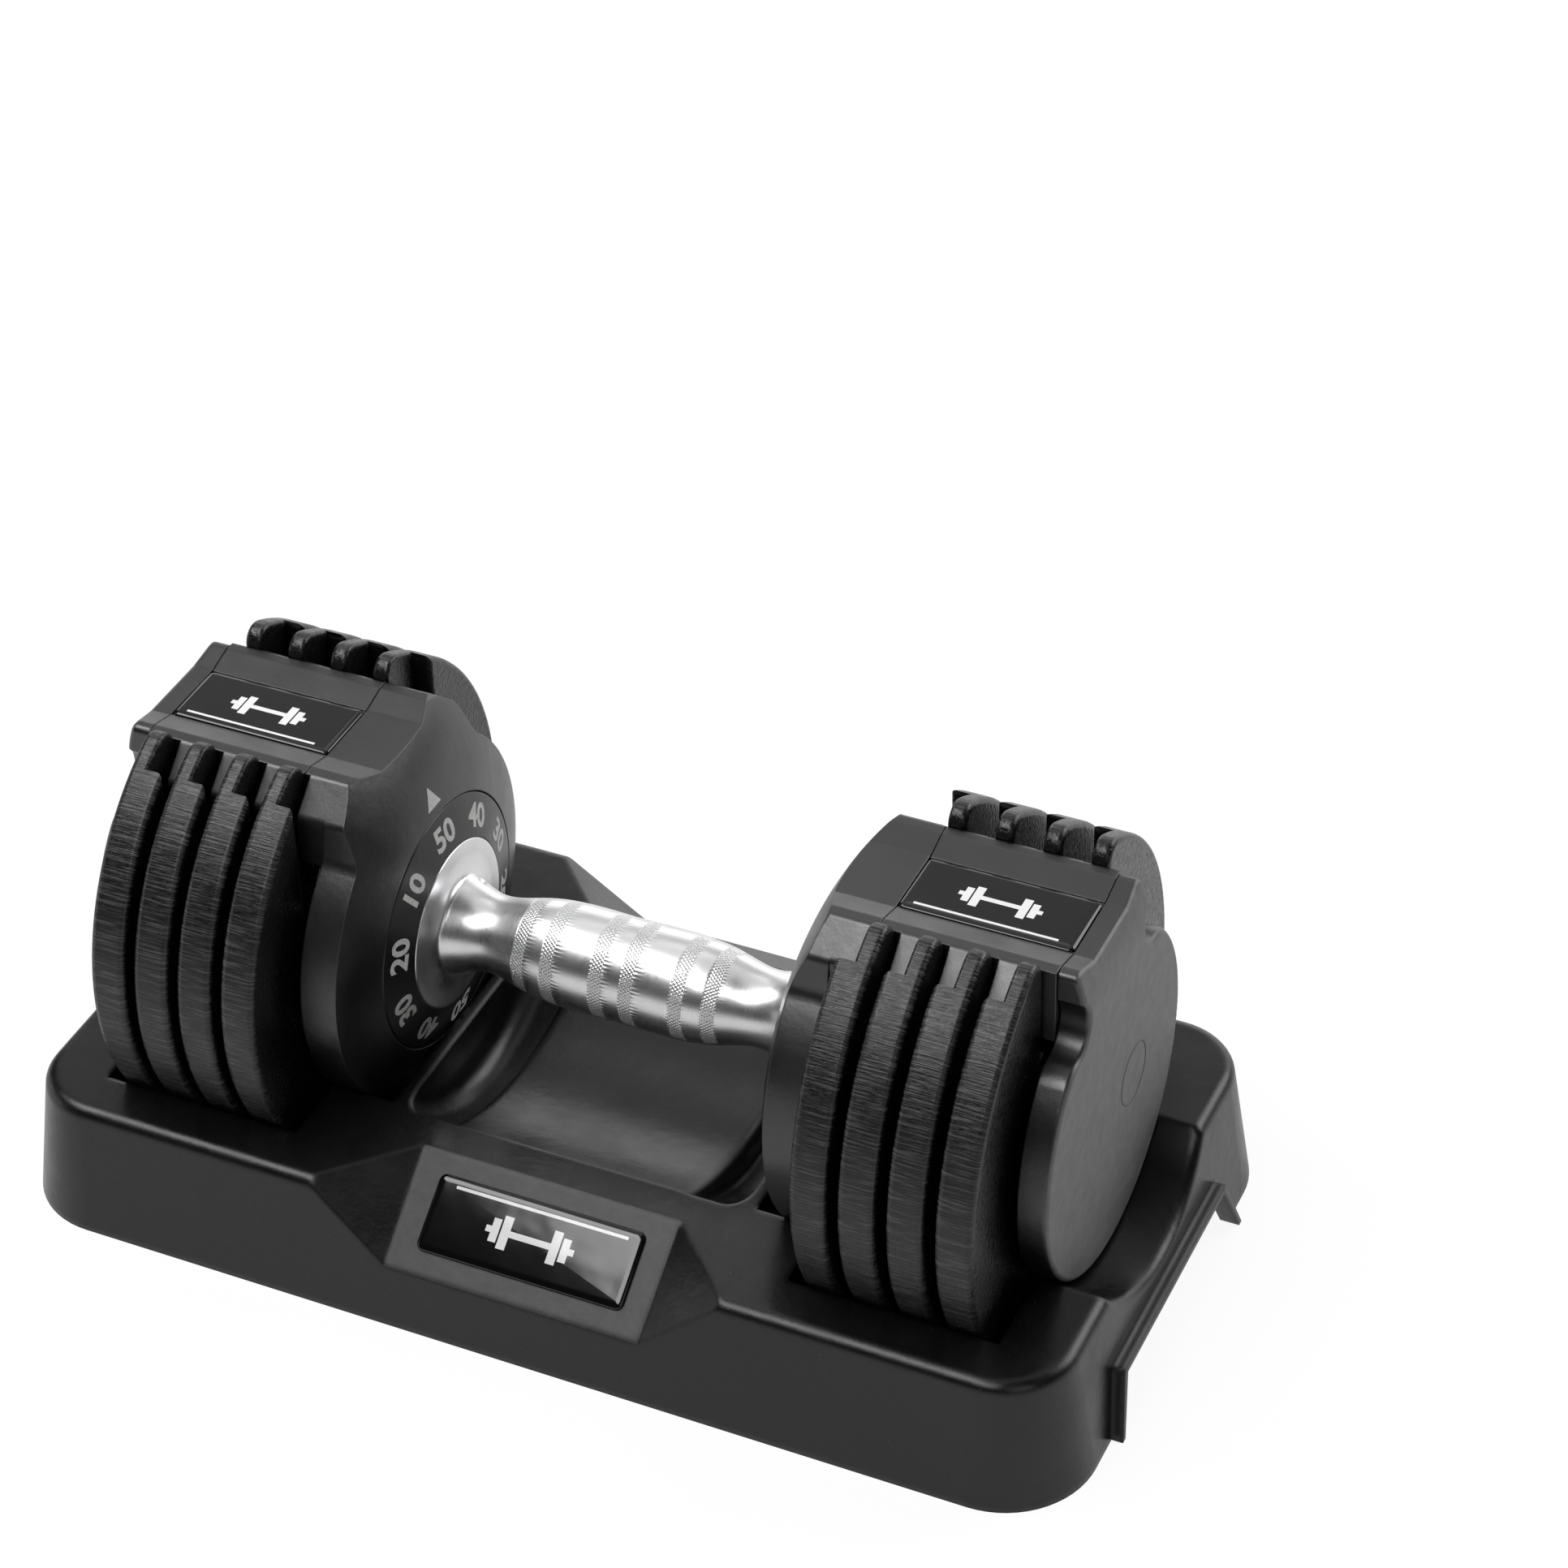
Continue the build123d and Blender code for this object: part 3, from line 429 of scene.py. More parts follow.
@dataclass(frozen=True)
class SatinSteel:
    """Steel turned and brushed round its axis.

    It shows fine rings, and burnished lines where the knurling wheel rolled.
    """

    name: str = "satin plated steel, turned"
    colour: str = "#dcdcdd"
    roughness: float = 0.3
    gloss_swing: float = 0.04
    line_roughness: float = 0.55
    ring: float = 0.3
    ring_length: float = 25 / 3
    ring_depth: float = 0.006
    patch: float = 9.0
    line_share: float = 0.2
    line_depth: float = 0.12

    def material(self) -> Material:
        """Build the node material.

        Returns:
            The finished material.
        """
        material, tree, where = start_material(self.name)
        lengthwise = 1 / (self.ring_length * MM)
        squeezed = add_node(tree, "Mapping",
                            {"Vector": where,
                             "Scale": (1 / (self.ring * MM), lengthwise, lengthwise)})
        rings = add_node(tree, "TexNoise", {"Vector": squeezed.outputs[0], "Scale": 1.0,
                                            "Detail": 3.0, "Roughness": 0.7})
        patch = add_node(tree, "TexNoise",
                         {"Vector": where, "Scale": 1 / (self.patch * MM), "Detail": 3.0})
        mixed = add_node(tree, "Math", {0: rings.outputs[0], 1: patch.outputs[0]},
                         operation="ADD")
        rough = add_node(tree, "MapRange",
                         {"Value": mixed.outputs[0], "From Min": 0.7, "From Max": 1.3,
                          "To Min": self.roughness - self.gloss_swing,
                          "To Max": self.roughness + self.gloss_swing})
        lines = self.knurl_lines(tree, where)
        spread = add_node(tree, "Mix", {FACTOR: lines, NUMBER_A: rough.outputs[0],
                                        NUMBER_B: self.line_roughness}, data_type="FLOAT")
        brushed = add_node(tree, "Bump",
                           {"Height": rings.outputs[0], "Distance": self.ring_depth * MM})
        grooved = add_node(tree, "Bump",
                           {"Height": lines, "Distance": self.line_depth * MM,
                            "Normal": brushed.outputs[0]}, invert=True)
        end_material(tree, {"Base Color": linear(self.colour), "Metallic": 1.0,
                            "Roughness": spread.outputs[0], "Normal": grooved.outputs[0]})
        return material

    def knurl_lines(self, tree: NodeTree, where: NodeSocket) -> NodeSocket:
        """Draw the two crossing sets of helical lines along the bottoms of the knurl grooves.

        Args:
            tree: node tree of the material.
            where: Object coordinates.

        Returns:
            One on a line inside a knurled band and zero elsewhere.
        """
        grip = Grip()
        x, _, _, turn = round_axis(tree, where)
        round_trip = add_node(tree, "Math", {0: turn, 1: grip.starts() / (2 * np.pi)},
                              operation="MULTIPLY")
        drawn: Any = 0.0
        for way in (1, -1):
            phase = add_node(tree, "Math", {0: x, 1: way / (grip.groove_lead * MM),
                                            2: round_trip.outputs[0]}, operation="MULTIPLY_ADD")
            away = add_node(tree, "Math", {0: phase.outputs[0], 1: 0.5}, operation="PINGPONG")
            line = add_node(tree, "MapRange", {"Value": away.outputs[0], "From Max": 0.0,
                                               "From Min": self.line_share / 2})
            drawn = add_node(tree, "Math", {0: line.outputs[0], 1: drawn},
                             operation="MAXIMUM").outputs[0]
        inside: Any = 0.0
        for centre in grip.band_centres:
            band = add_node(tree, "Math", {0: x, 1: centre * MM, 2: grip.band_width / 2 * MM},
                            operation="COMPARE")
            inside = add_node(tree, "Math", {0: band.outputs[0], 1: inside},
                              operation="MAXIMUM").outputs[0]
        return add_node(tree, "Math", {0: drawn, 1: inside}, operation="MULTIPLY").outputs[0]


@dataclass(frozen=True)
class PlainMetal:
    """Plated steel or turned brass of the hidden works: a faint patchy sheen."""

    name: str
    colour: str
    roughness: float
    gloss_swing: float = 0.08
    patch: float = 4.0

    def material(self) -> Material:
        """Build the node material.

        Returns:
            The finished material.
        """
        material, tree, where = start_material(self.name)
        patch = add_node(tree, "TexNoise",
                         {"Vector": where, "Scale": 1 / (self.patch * MM), "Detail": 4.0})
        rough = uneven_gloss(tree, patch.outputs[0], self.roughness, self.gloss_swing)
        end_material(tree, {"Base Color": linear(self.colour), "Metallic": 1.0,
                            "Roughness": rough})
        return material


@dataclass(frozen=True)
class WhiteInk:
    """Pad-printed white ink: slightly uneven cover."""

    name: str = "white ink, pad printed"
    colour: str = "#b8b8b6"
    thin_colour: str = "#9a9a98"
    roughness: float = 0.5
    cover: float = 1.2
    ior: float = 1.5

    def material(self) -> Material:
        """Build the node material.

        Returns:
            The finished material.
        """
        material, tree, where = start_material(self.name)
        cover = add_node(tree, "TexNoise",
                         {"Vector": where, "Scale": 1 / (self.cover * MM), "Detail": 3.0})
        share = add_node(tree, "MapRange",
                         {"Value": cover.outputs[0], "From Min": 0.45, "From Max": 0.75})
        colour = add_node(tree, "Mix", {FACTOR: share.outputs[0], COLOUR_A: linear(self.colour),
                                        COLOUR_B: linear(self.thin_colour)}, data_type="RGBA")
        end_material(tree, {"Base Color": colour.outputs[COLOUR_OUT],
                            "Roughness": self.roughness, "IOR": self.ior})
        return material


@dataclass(frozen=True)
class DomedResin:
    """Clear doming resin over a black print: mirror gloss, a dumbbell sign and a pale band that is
    a painted highlight along the dome's shoulder.

    The print and the painted highlight are drawn by boxes in the label's own plane. Each box is the
    two coordinates of its centre and its two half sizes, in millimetres.
    """

    name: str
    origin: Point
    tilt: float
    highlight_band: Box
    sign_scale: float
    ground: str = "#070708"
    # The same pale colour prints the sign and paints the highlight band.
    ink: str = "#dcdcdc"
    roughness: float = 0.1
    ripple: float = 14.0
    ripple_depth: float = 0.12
    ior: float = 1.5
    sign: tuple[Box, ...] = (
        (0.0, 0.0, 7.0, 1.0),
        (8.4, 0.0, 1.5, 5.2),
        (-8.4, 0.0, 1.5, 5.2),
        (11.8, 0.0, 1.3, 3.7),
        (-11.8, 0.0, 1.3, 3.7),
        (14.0, 0.0, 0.9, 1.0),
        (-14.0, 0.0, 0.9, 1.0),
    )

    def material(self) -> Material:
        """Build the node material.

        Returns:
            The finished material.
        """
        material, tree, where = start_material(self.name)
        shifted = add_node(tree, "VectorMath", {0: where, 1: tuple(-v * MM for v in self.origin)},
                           operation="ADD")
        flat = add_node(tree, "VectorRotate", {"Vector": shifted.outputs[0],
                                               "Axis": (1.0, 0.0, 0.0), "Angle": -self.tilt},
                        rotation_type="AXIS_ANGLE")
        place = add_node(tree, "SeparateXYZ", {"Vector": flat.outputs[0]})
        # The first box is the painted highlight: a pale band where the dome's shoulder reflects the
        # light. The other boxes are the printed sign.
        boxes = [self.highlight_band] + [tuple(v * self.sign_scale for v in box) for box in self.sign]
        print_and_highlight: Any = 0.0
        for across, up, half_width, half_height in boxes:
            in_x = add_node(tree, "Math", {0: place.outputs["X"], 1: across * MM,
                                           2: half_width * MM}, operation="COMPARE")
            in_y = add_node(tree, "Math", {0: place.outputs["Y"], 1: up * MM,
                                           2: half_height * MM}, operation="COMPARE")
            inside = add_node(tree, "Math", {0: in_x.outputs[0], 1: in_y.outputs[0]},
                              operation="MULTIPLY")
            print_and_highlight = add_node(tree, "Math", {0: inside.outputs[0], 1: print_and_highlight},
                             operation="MAXIMUM").outputs[0]
        colour = add_node(tree, "Mix", {FACTOR: print_and_highlight, COLOUR_A: linear(self.ground),
                                        COLOUR_B: linear(self.ink)}, data_type="RGBA")
        ripple = add_node(tree, "TexNoise",
                          {"Vector": where, "Scale": 1 / (self.ripple * MM), "Detail": 1.0})
        bump = add_node(tree, "Bump",
                        {"Height": ripple.outputs[0], "Distance": self.ripple_depth * MM})
        end_material(tree, {"Base Color": colour.outputs[COLOUR_OUT],
                            "Roughness": self.roughness, "IOR": self.ior,
                            "Normal": bump.outputs[0]})
        return material


def grid_quads(rows: int, columns: int, close_rows: bool, close_columns: bool) -> np.ndarray:
    """Number the quads of a grid of points, row by row.

    Args:
        rows: points along the first parameter.
        columns: points along the second parameter.
        close_rows: whether the last row joins the first.
        close_columns: whether the last column joins the first.

    Returns:
        Four point numbers for each quad.
    """
    i, j = np.meshgrid(np.arange(rows if close_rows else rows - 1),
                       np.arange(columns if close_columns else columns - 1), indexing="ij")
    i, j = i.ravel(), j.ravel()
    after, beside = (i + 1) % rows, (j + 1) % columns
    return np.stack([i * columns + j, i * columns + beside,
                     after * columns + beside, after * columns + j], 1)


def make_piece(name: str, points: np.ndarray, faces: list, material: Material, body: str,
               sharp: float = 40.0) -> Object:
    """Put points and faces into a smooth-shaded object that rides on a body.

    Args:
        name: name of the piece.
        points: one row of three metres for each point.
        faces: point numbers of each face.
        material: its finish.
        body: CAD body that it moves with.
        sharp: degrees from which an edge shows as sharp.

    Returns:
        The new object.
    """
    mesh = bpy.data.meshes.new(name)
    mesh.from_pydata(points.tolist(), [], [list(f) for f in faces])
    mesh.materials.append(material)
    mesh.validate()
    mesh.shade_smooth()
    mesh.set_sharp_from_angle(angle=float(np.radians(sharp)))
    piece = bpy.data.objects.new(name, mesh)
    bpy.context.scene.collection.objects.link(piece)
    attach(piece, body)
    return piece


def natural_spline(knots: np.ndarray, values: np.ndarray, at: np.ndarray) -> np.ndarray:
    """Draw a smooth curve through points.

    Cubics meet with equal slope and bend at each point, and both ends are free of bend.

    Args:
        knots: rising places of the points.
        values: heights of the points.
        at: places to read.

    Returns:
        The curve's height at each place.
    """
    n, h = len(knots), np.diff(knots)
    matrix, right = np.eye(n), np.zeros(n)
    slope = np.diff(values) / h
    for k in range(1, n - 1):
        matrix[k, k - 1:k + 2] = h[k - 1], 2 * (h[k - 1] + h[k]), h[k]
        right[k] = 6 * (slope[k] - slope[k - 1])
    bend = np.linalg.solve(matrix, right)
    k = np.clip(np.searchsorted(knots, at) - 1, 0, n - 2)
    a, b = (knots[k + 1] - at) / h[k], (at - knots[k]) / h[k]
    return (a * values[k] + b * values[k + 1]
            + ((a ** 3 - a) * bend[k] + (b ** 3 - b) * bend[k + 1]) * h[k] ** 2 / 6)


@dataclass
class Grip:
    """Contoured steel grip with knurled bands, its end discs and the spigots inside the heads."""

    disc_face: float = 72.7
    disc_radius: float = 33.2
    disc_round: float = 0.8
    disc_rim: float = 5.0
    dial_face: float = 77.4
    spigot_radius: float = 16.0
    spigot_end: float = 89.0
    bore: float = 7.03
    flare_end: float = 69.5
    profile_x: tuple[float, ...] = (-69.5, -58.0, -40.0, 0.0, 40.0, 58.0, 69.5)
    profile_r: tuple[float, ...] = (19.0, 15.0, 17.9, 19.8, 17.9, 15.0, 19.0)
    band_centres: tuple[float, ...] = (-38.8, -26.4, -6.2, 6.2, 26.4, 38.8)
    band_width: float = 5.5
    band_margin: float = 0.05
    groove_pitch: float = 1.55
    groove_lead: float = 1.9
    groove_depth: float = 0.24
    groove_share: float = 0.55
    pin_x: float = 66.2
    pin_turn: float = 36.0
    pin_radius: float = 2.0
    pin_depth: float = 0.8
    pin_slope: float = 0.4
    pin_zone: float = 2.6
    coarse_step: float = 2.5
    band_step: float = 0.28
    pin_step: float = 0.4
    least_step: float = 0.12
    segments: int = 384

    def barrel_stations(self) -> np.ndarray:
        """Places along the barrel: fine steps in the knurled bands and at the pins, else wider."""
        end, half_band = 0.01, self.band_width / 2
        coarse = np.arange(-self.flare_end, self.flare_end + end, self.coarse_step)
        bands = [np.arange(c - half_band, c + half_band + end, self.band_step)
                 for c in self.band_centres]
        pins = [np.arange(s * self.pin_x - self.pin_zone, s * self.pin_x + self.pin_zone + end,
                          self.pin_step) for s in SIDES.values()]
        stations = np.unique(np.round(np.concatenate([coarse, *bands, *pins]), 3))
        return stations[np.concatenate([[True], np.diff(stations) > self.least_step])]

    def half_end(self, side: int) -> tuple[np.ndarray, np.ndarray]:
        """Profile from the end of the barrel over the disc to the bore.

        The neck sweeps into the disc on a quarter ellipse. The disc's edge is a quarter circle.

        Args:
            side: minus one for the left end, one for the right.

        Returns:
            Places along the axis and radii.
        """
        turn, neck = QUARTER[1:], self.profile_r[-1]
        sweep_x = self.flare_end + (self.disc_face - self.flare_end) * np.sin(turn)
        sweep_r = neck + (self.disc_radius - self.disc_rim - neck) * (1 - np.cos(turn))
        edge_x = self.disc_face + self.disc_round * (1 - np.cos(turn))
        edge_r = self.disc_radius - self.disc_round + self.disc_round * np.sin(turn)
        back_x = [self.dial_face, self.dial_face, self.spigot_end, self.spigot_end]
        back_r = [self.disc_radius, self.spigot_radius, self.spigot_radius, self.bore]
        x = np.concatenate([sweep_x, [self.disc_face], edge_x, back_x])
        r = np.concatenate([sweep_r, [self.disc_radius - self.disc_round], edge_r, back_r])
        return side * x, r

    def starts(self) -> int:
        """Grooves of one set round the barrel."""
        return round(2 * np.pi * max(self.profile_r) / self.groove_pitch)

    def knurl(self, x: np.ndarray, turn: np.ndarray) -> np.ndarray:
        """Depth of the knurl: two crossing sets of helical V grooves, cut only inside the bands.

        Args:
            x: place along the axis of each point.
            turn: angle of each point.

        Returns:
            How far each point sinks below the barrel.
        """
        round_trip = self.starts() * turn / (2 * np.pi)
        one, other = (1 - np.abs(2 * np.mod(round_trip + way * x / self.groove_lead, 1) - 1)
                      for way in (1, -1))
        away = np.min([np.abs(x - c) for c in self.band_centres], axis=0)
        in_band = away < self.band_width / 2 - self.band_margin
        land = np.clip(np.minimum(one, other) / self.groove_share, 0, 1)
        return self.groove_depth * (1 - land) * in_band

    def pin_holes(self, x: np.ndarray, turn: np.ndarray, r: np.ndarray) -> np.ndarray:
        """Depth of the pin holes: a round well with a sloped wall at both ends of each neck's pin.

        Args:
            x: place along the axis of each point.
            turn: angle of each point.
            r: radius of each point.

        Returns:
            How far each point sinks below the barrel.
        """
        away = np.hypot(np.abs(x) - self.pin_x, r * np.sin(turn - np.radians(self.pin_turn)))
        edge = self.pin_radius + self.pin_slope / 2
        return self.pin_depth * np.clip((edge - away) / self.pin_slope, 0, 1)

    def build(self, steel: Material) -> Object:
        """Turn the profile round the axis, sink the knurl and pin holes, close it through the bore.

        Args:
            steel: finish of the grip.

        Returns:
            The grip.
        """
        barrel_x = self.barrel_stations()
        barrel_r = natural_spline(np.array(self.profile_x), np.array(self.profile_r), barrel_x)
        left_x, left_r = self.half_end(-1)
        right_x, right_r = self.half_end(1)
        x = np.concatenate([left_x[::-1], barrel_x, right_x])
        r = np.concatenate([left_r[::-1], barrel_r, right_r])
        turn = np.arange(self.segments) * 2 * np.pi / self.segments
        grid_x, grid_turn = np.meshgrid(x, turn, indexing="ij")
        grid_r = np.broadcast_to(r[:, None], grid_x.shape)
        on_barrel = np.abs(grid_x) <= self.flare_end
        sink = self.knurl(grid_x, grid_turn) + self.pin_holes(grid_x, grid_turn, grid_r)
        grid_r = grid_r - sink * on_barrel
        points = np.stack([grid_x, grid_r * np.sin(grid_turn),
                           AXIS_HEIGHT + grid_r * np.cos(grid_turn)], -1)
        quads = grid_quads(len(x), self.segments, True, True)
        piece = make_piece("grip_turned", points.reshape(-1, 3) * MM, quads.tolist(), steel,
                           "handle")
        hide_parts("handle_grip")
        return piece


@dataclass
class Dial:
    """Numbers printed on the two dial rings, and the pointer printed on each housing."""

    face: float = 77.4
    radius: float = 49.8
    lip: tuple[float, float] = (73.1, 33.23)
    number_radius: float = 41.3
    number_height: float = 8.8
    number_weight: float = 0.38
    number_width: float = 1.15
    size_per_height: float = 1.38
    ink_thickness: float = 0.12
    ink_sink: float = 0.05
    step: float = 36.0
    numbers: tuple[str, ...] = ("50", "40", "30", "20", "10") * 2
    pointer_base: float = 53.5
    pointer_tip: float = 61.2
    pointer_width: float = 9.4
    pointer_taper: float = 0.98
    pointer_points: int = 9
    dome: tuple[tuple[float, float], ...] = ((77.4, 49.8), (85.5, 71.0), (93.5, 84.0))

    def number_mesh(self, text: str) -> tuple[np.ndarray, list]:
        """Points and faces of one number, flat in its own plane and centred, in millimetres.

        Args:
            text: the number.

        Returns:
            Points and faces.
        """
        curve = bpy.data.curves.new("number", "FONT")
        curve.body = text
        curve.align_x, curve.align_y = "CENTER", "CENTER"
        curve.size = self.number_height * self.size_per_height
        curve.offset = self.number_weight
        curve.extrude = self.ink_thickness / 2
        curve.resolution_u = 4
        letters = bpy.data.objects.new("number", curve)
        mesh = bpy.data.meshes.new_from_object(letters)
        points = np.zeros(len(mesh.vertices) * 3)
        mesh.vertices.foreach_get("co", points)
        faces = [list(p.vertices) for p in mesh.polygons]
        bpy.data.objects.remove(letters)
        bpy.data.curves.remove(curve)
        bpy.data.meshes.remove(mesh)
        points = points.reshape(-1, 3)
        middle = (points.min(0) + points.max(0)) / 2
        return (points - middle) * [self.number_width, 1, 1], faces

    def build_numbers(self, name: str, side: int, ink: Material) -> Object:
        """Set all ten numbers round one dial's cone, each upright when it stands at the top.

        A point away from the axis lies on the straight line from the cone's lip to its rim.

        Args:
            name: name of the head.
            side: minus one for the left head, one for the right.
            ink: finish of the numbers.

        Returns:
            The numbers as one piece.
        """
        all_points, all_faces, count = [], [], 0
        for k, text in enumerate(self.numbers):
            flat, faces = self.number_mesh(text)
            angle = np.radians(self.step * k)
            up = np.array([0, np.sin(angle), np.cos(angle)])
            right = np.cross(up, [-side, 0, 0])
            points = flat[:, :1] * right + (self.number_radius + flat[:, 1:2]) * up
            reach = np.hypot(points[:, 1], points[:, 2])
            cone = np.interp(reach, [self.lip[1], self.radius], [self.lip[0], self.face])
            points[:, 0] = side * (cone - flat[:, 2])
            all_points.append(points + [0, 0, AXIS_HEIGHT])
            all_faces += [[v + count for v in f] for f in faces]
            count += len(flat)
        return make_piece(f"dial_numbers_{name}", np.concatenate(all_points) * MM, all_faces, ink,
                          "handle")

    def dome_x(self, radius: np.ndarray) -> np.ndarray:
        """Where the housing's dome lies: on the circle through the dome's three points.

        Args:
            radius: distances from the axis.

        Returns:
            Places along the axis.
        """
        p = np.array(self.dome)
        centre = np.linalg.solve(2 * (p[1:] - p[0]), (p[1:] ** 2).sum(1) - (p[0] ** 2).sum())
        reach = np.hypot(*(p[0] - centre))
        sign = np.sign(p[0, 0] - centre[0])
        return centre[0] + sign * np.sqrt(reach ** 2 - (radius - centre[1]) ** 2)

    def build_pointer(self, name: str, side: int, ink: Material) -> Object:
        """Print a triangle on the dome: its width falls evenly from the base to the tip.

        Args:
            name: name of the head.
            side: minus one for the left head, one for the right.
            ink: finish of the pointer.

        Returns:
            The pointer.
        """
        n = self.pointer_points
        rise, across = np.meshgrid(np.linspace(0, 1, n), np.linspace(-1, 1, n), indexing="ij")
        y = across * (1 - self.pointer_taper * rise) * self.pointer_width / 2
        z = self.pointer_base + rise * (self.pointer_tip - self.pointer_base)
        surface = self.dome_x(np.hypot(y, z))
        layers = [np.stack([side * (surface - lift), y, AXIS_HEIGHT + z], -1).reshape(-1, 3)
                  for lift in (-self.ink_sink, self.ink_thickness)]
        quads = grid_quads(n, n, False, False)
        front, back = quads + n * n, quads[:, ::-1]
        grid = np.arange(n * n).reshape(n, n)
        rim = np.concatenate([grid[0], grid[1:, -1], grid[-1, -2::-1], grid[-2:0:-1, 0]])
        after = np.roll(rim, -1)
        wall = np.stack([rim, after, after + n * n, rim + n * n], 1)
        faces = np.concatenate([front, back, wall])
        if side > 0:
            faces = faces[:, ::-1]
        return make_piece(f"dial_pointer_{name}", np.concatenate(layers) * MM, faces.tolist(), ink,
                          "frame")


@dataclass
class DomedLabel:
    """Rectangular label with rounded corners under a dome of clear resin."""

    length: float
    width: float
    corner: float
    wall: float
    crown: float
    shoulder: float
    corner_points: int = 7
    least_corner: float = 0.2

    def outline(self, inset: float) -> np.ndarray:
        """Rounded rectangle, drawn inwards by an inset: four quarter circles and straight edges.

        Args:
            inset: distance from the outer edge.

        Returns:
            Points round the outline.
        """
        radius = max(self.corner - inset, self.least_corner)
        x, y = self.length / 2 - inset - radius, self.width / 2 - inset - radius
        turn = np.linspace(0, np.pi / 2, self.corner_points)
        corners = [(x, y, 0), (-x, y, 1), (-x, -y, 2), (x, -y, 3)]
        return np.concatenate([np.stack([cx + radius * np.cos(turn + q * np.pi / 2),
                                         cy + radius * np.sin(turn + q * np.pi / 2)], 1)
                               for cx, cy, q in corners])

    def build(self, name: str, node: str, body: str, place: np.ndarray, axes: np.ndarray,
              resin: Material) -> Object:
        """Stack the outlines: a straight wall, then a quarter ellipse up to a flat crown.

        Args:
            name: name of the piece.
            node: CAD node that it stands for.
            body: CAD body that it moves with.
            place: middle of its underside, in millimetres.
            axes: its length, width and outward directions as rows.
            resin: its finish.

        Returns:
            The label.
        """
        insets = np.concatenate([[0.0], self.shoulder * (1 - np.cos(QUARTER))])
        heights = np.concatenate([[0.0], self.wall + (self.crown - self.wall) * np.sin(QUARTER)])
        ring = 4 * self.corner_points
        flat = np.concatenate([np.column_stack([self.outline(i), np.full(ring, h)])
                               for i, h in zip(insets, heights)])
        faces = grid_quads(len(insets), ring, False, True).tolist()
        faces += [list(range(ring - 1, -1, -1)), list(range(len(flat) - ring, len(flat)))]
        piece = make_piece(name, (place + flat @ axes) * MM, faces, resin, body)
        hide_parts(node)
        return piece


@dataclass
class Labels:
    """Roof labels of the two heads and the badge on the tray."""

    roof_middle: float = 146.3
    roof_height: float = 176.0
    # Each label's pale band is a painted highlight along the dome's shoulder, where it reflects the
    # light; the sign is print.
    roof_highlight_band: Box = (-1.0, -11.4, 27.0, 0.55)
    roof_sign: float = 1.05
    badge_drop: float = 22.6
    badge_highlight_band: Box = (1.0, 11.0, 35.0, 0.6)
    badge_sign: float = 1.2
    roof: DomedLabel = field(default_factory=lambda: DomedLabel(
        length=65.6, width=29.2, corner=2.2, wall=0.5, crown=1.6, shoulder=3.0))
    badge: DomedLabel = field(default_factory=lambda: DomedLabel(
        length=84.0, width=29.8, corner=3.0, wall=0.6, crown=1.8, shoulder=3.0))

    def build(self) -> list[Object]:
        """Build the three labels, each with its own print place.

        Returns:
            The labels.
        """
        pieces = []
        for name, side in SIDES.items():
            place = np.array([side * self.roof_middle, 0, self.roof_height])
            resin = DomedResin(f"doming resin, roof {name}", tuple(place), 0.0, self.roof_highlight_band,
                               self.roof_sign)
            pieces.append(self.roof.build(f"label_{name}", f"head_label_{name}", "frame", place,
                                          np.eye(3), resin.material()))
        panel = TrayPanel()
        place = panel.top() / MM + panel.down() * self.badge_drop
        axes = np.stack([[1, 0, 0], -panel.down(), panel.normal()])
        tilt = float(np.arctan2(-panel.down()[2], -panel.down()[1]))
        resin = DomedResin("doming resin, badge", tuple(place), tilt, self.badge_highlight_band,
                           self.badge_sign)
        pieces.append(self.badge.build("badge_domed", "tray_badge", "tray", place, axes,
                                       resin.material()))
        return pieces


@dataclass
class CadFinishes:
    """Finishes of the CAD pieces that stay in sight as they are."""

    # The tray's sloped panels get a lighter grey, which is painted light for the light they catch.
    tray: MouldedPlastic = MouldedPlastic(
        "polypropylene, moulded tray", "#0b0b0c", "#3c3c3d", 0.28, grain_depth=0.012, ior=1.46,
        edge_round=3.5, matt_painted_light_area=MattPaintedLightArea.PANEL, matt_painted_light_colour="#343435", matt_roughness=0.45)
    # The end caps' outer faces get a lighter grey, which is painted light for the light they catch.
    head: MouldedPlastic = MouldedPlastic(
        "ABS, moulded head shell", "#0b0b0c", "#3a3a3b", 0.36, ior=1.7,
        matt_painted_light_area=MattPaintedLightArea.CAP, matt_painted_light_colour="#59595a", matt_roughness=0.55)
    dial: MouldedPlastic = MouldedPlastic(
        "ABS, moulded dial", "#0b0b0c", "#3a3a3b", 0.34, patch_contrast=0.1)
    iron: PaintedIron = PaintedIron()
    steel: PlainMetal = PlainMetal("zinc plated steel", "#9a9b9d", 0.34)
    brass: PlainMetal = PlainMetal("turned brass", "#b08d4a", 0.3)

    def dress(self) -> list[Object]:
        """Give every CAD node the finish of its record slot.

        Returns:
            The dressed nodes.
        """
        by_slot = {"tray_plastic": self.tray.material(), "head_plastic": self.head.material(),
                   "dial_plastic": self.dial.material(), "plate_iron": self.iron.material(),
                   "inner_steel": self.steel.material(), "bush_brass": self.brass.material()}
        by_slot["grip_steel"] = by_slot["inner_steel"]
        by_slot["label_resin"] = by_slot["dial_plastic"]
        nodes = []
        for part in frame["record"]["subparts"]:
            node = frame["nodes"][part["node"]]
            for place in node.material_slots:
                place.material = by_slot[part["material_slot"]]
            nodes.append(node)
        return nodes


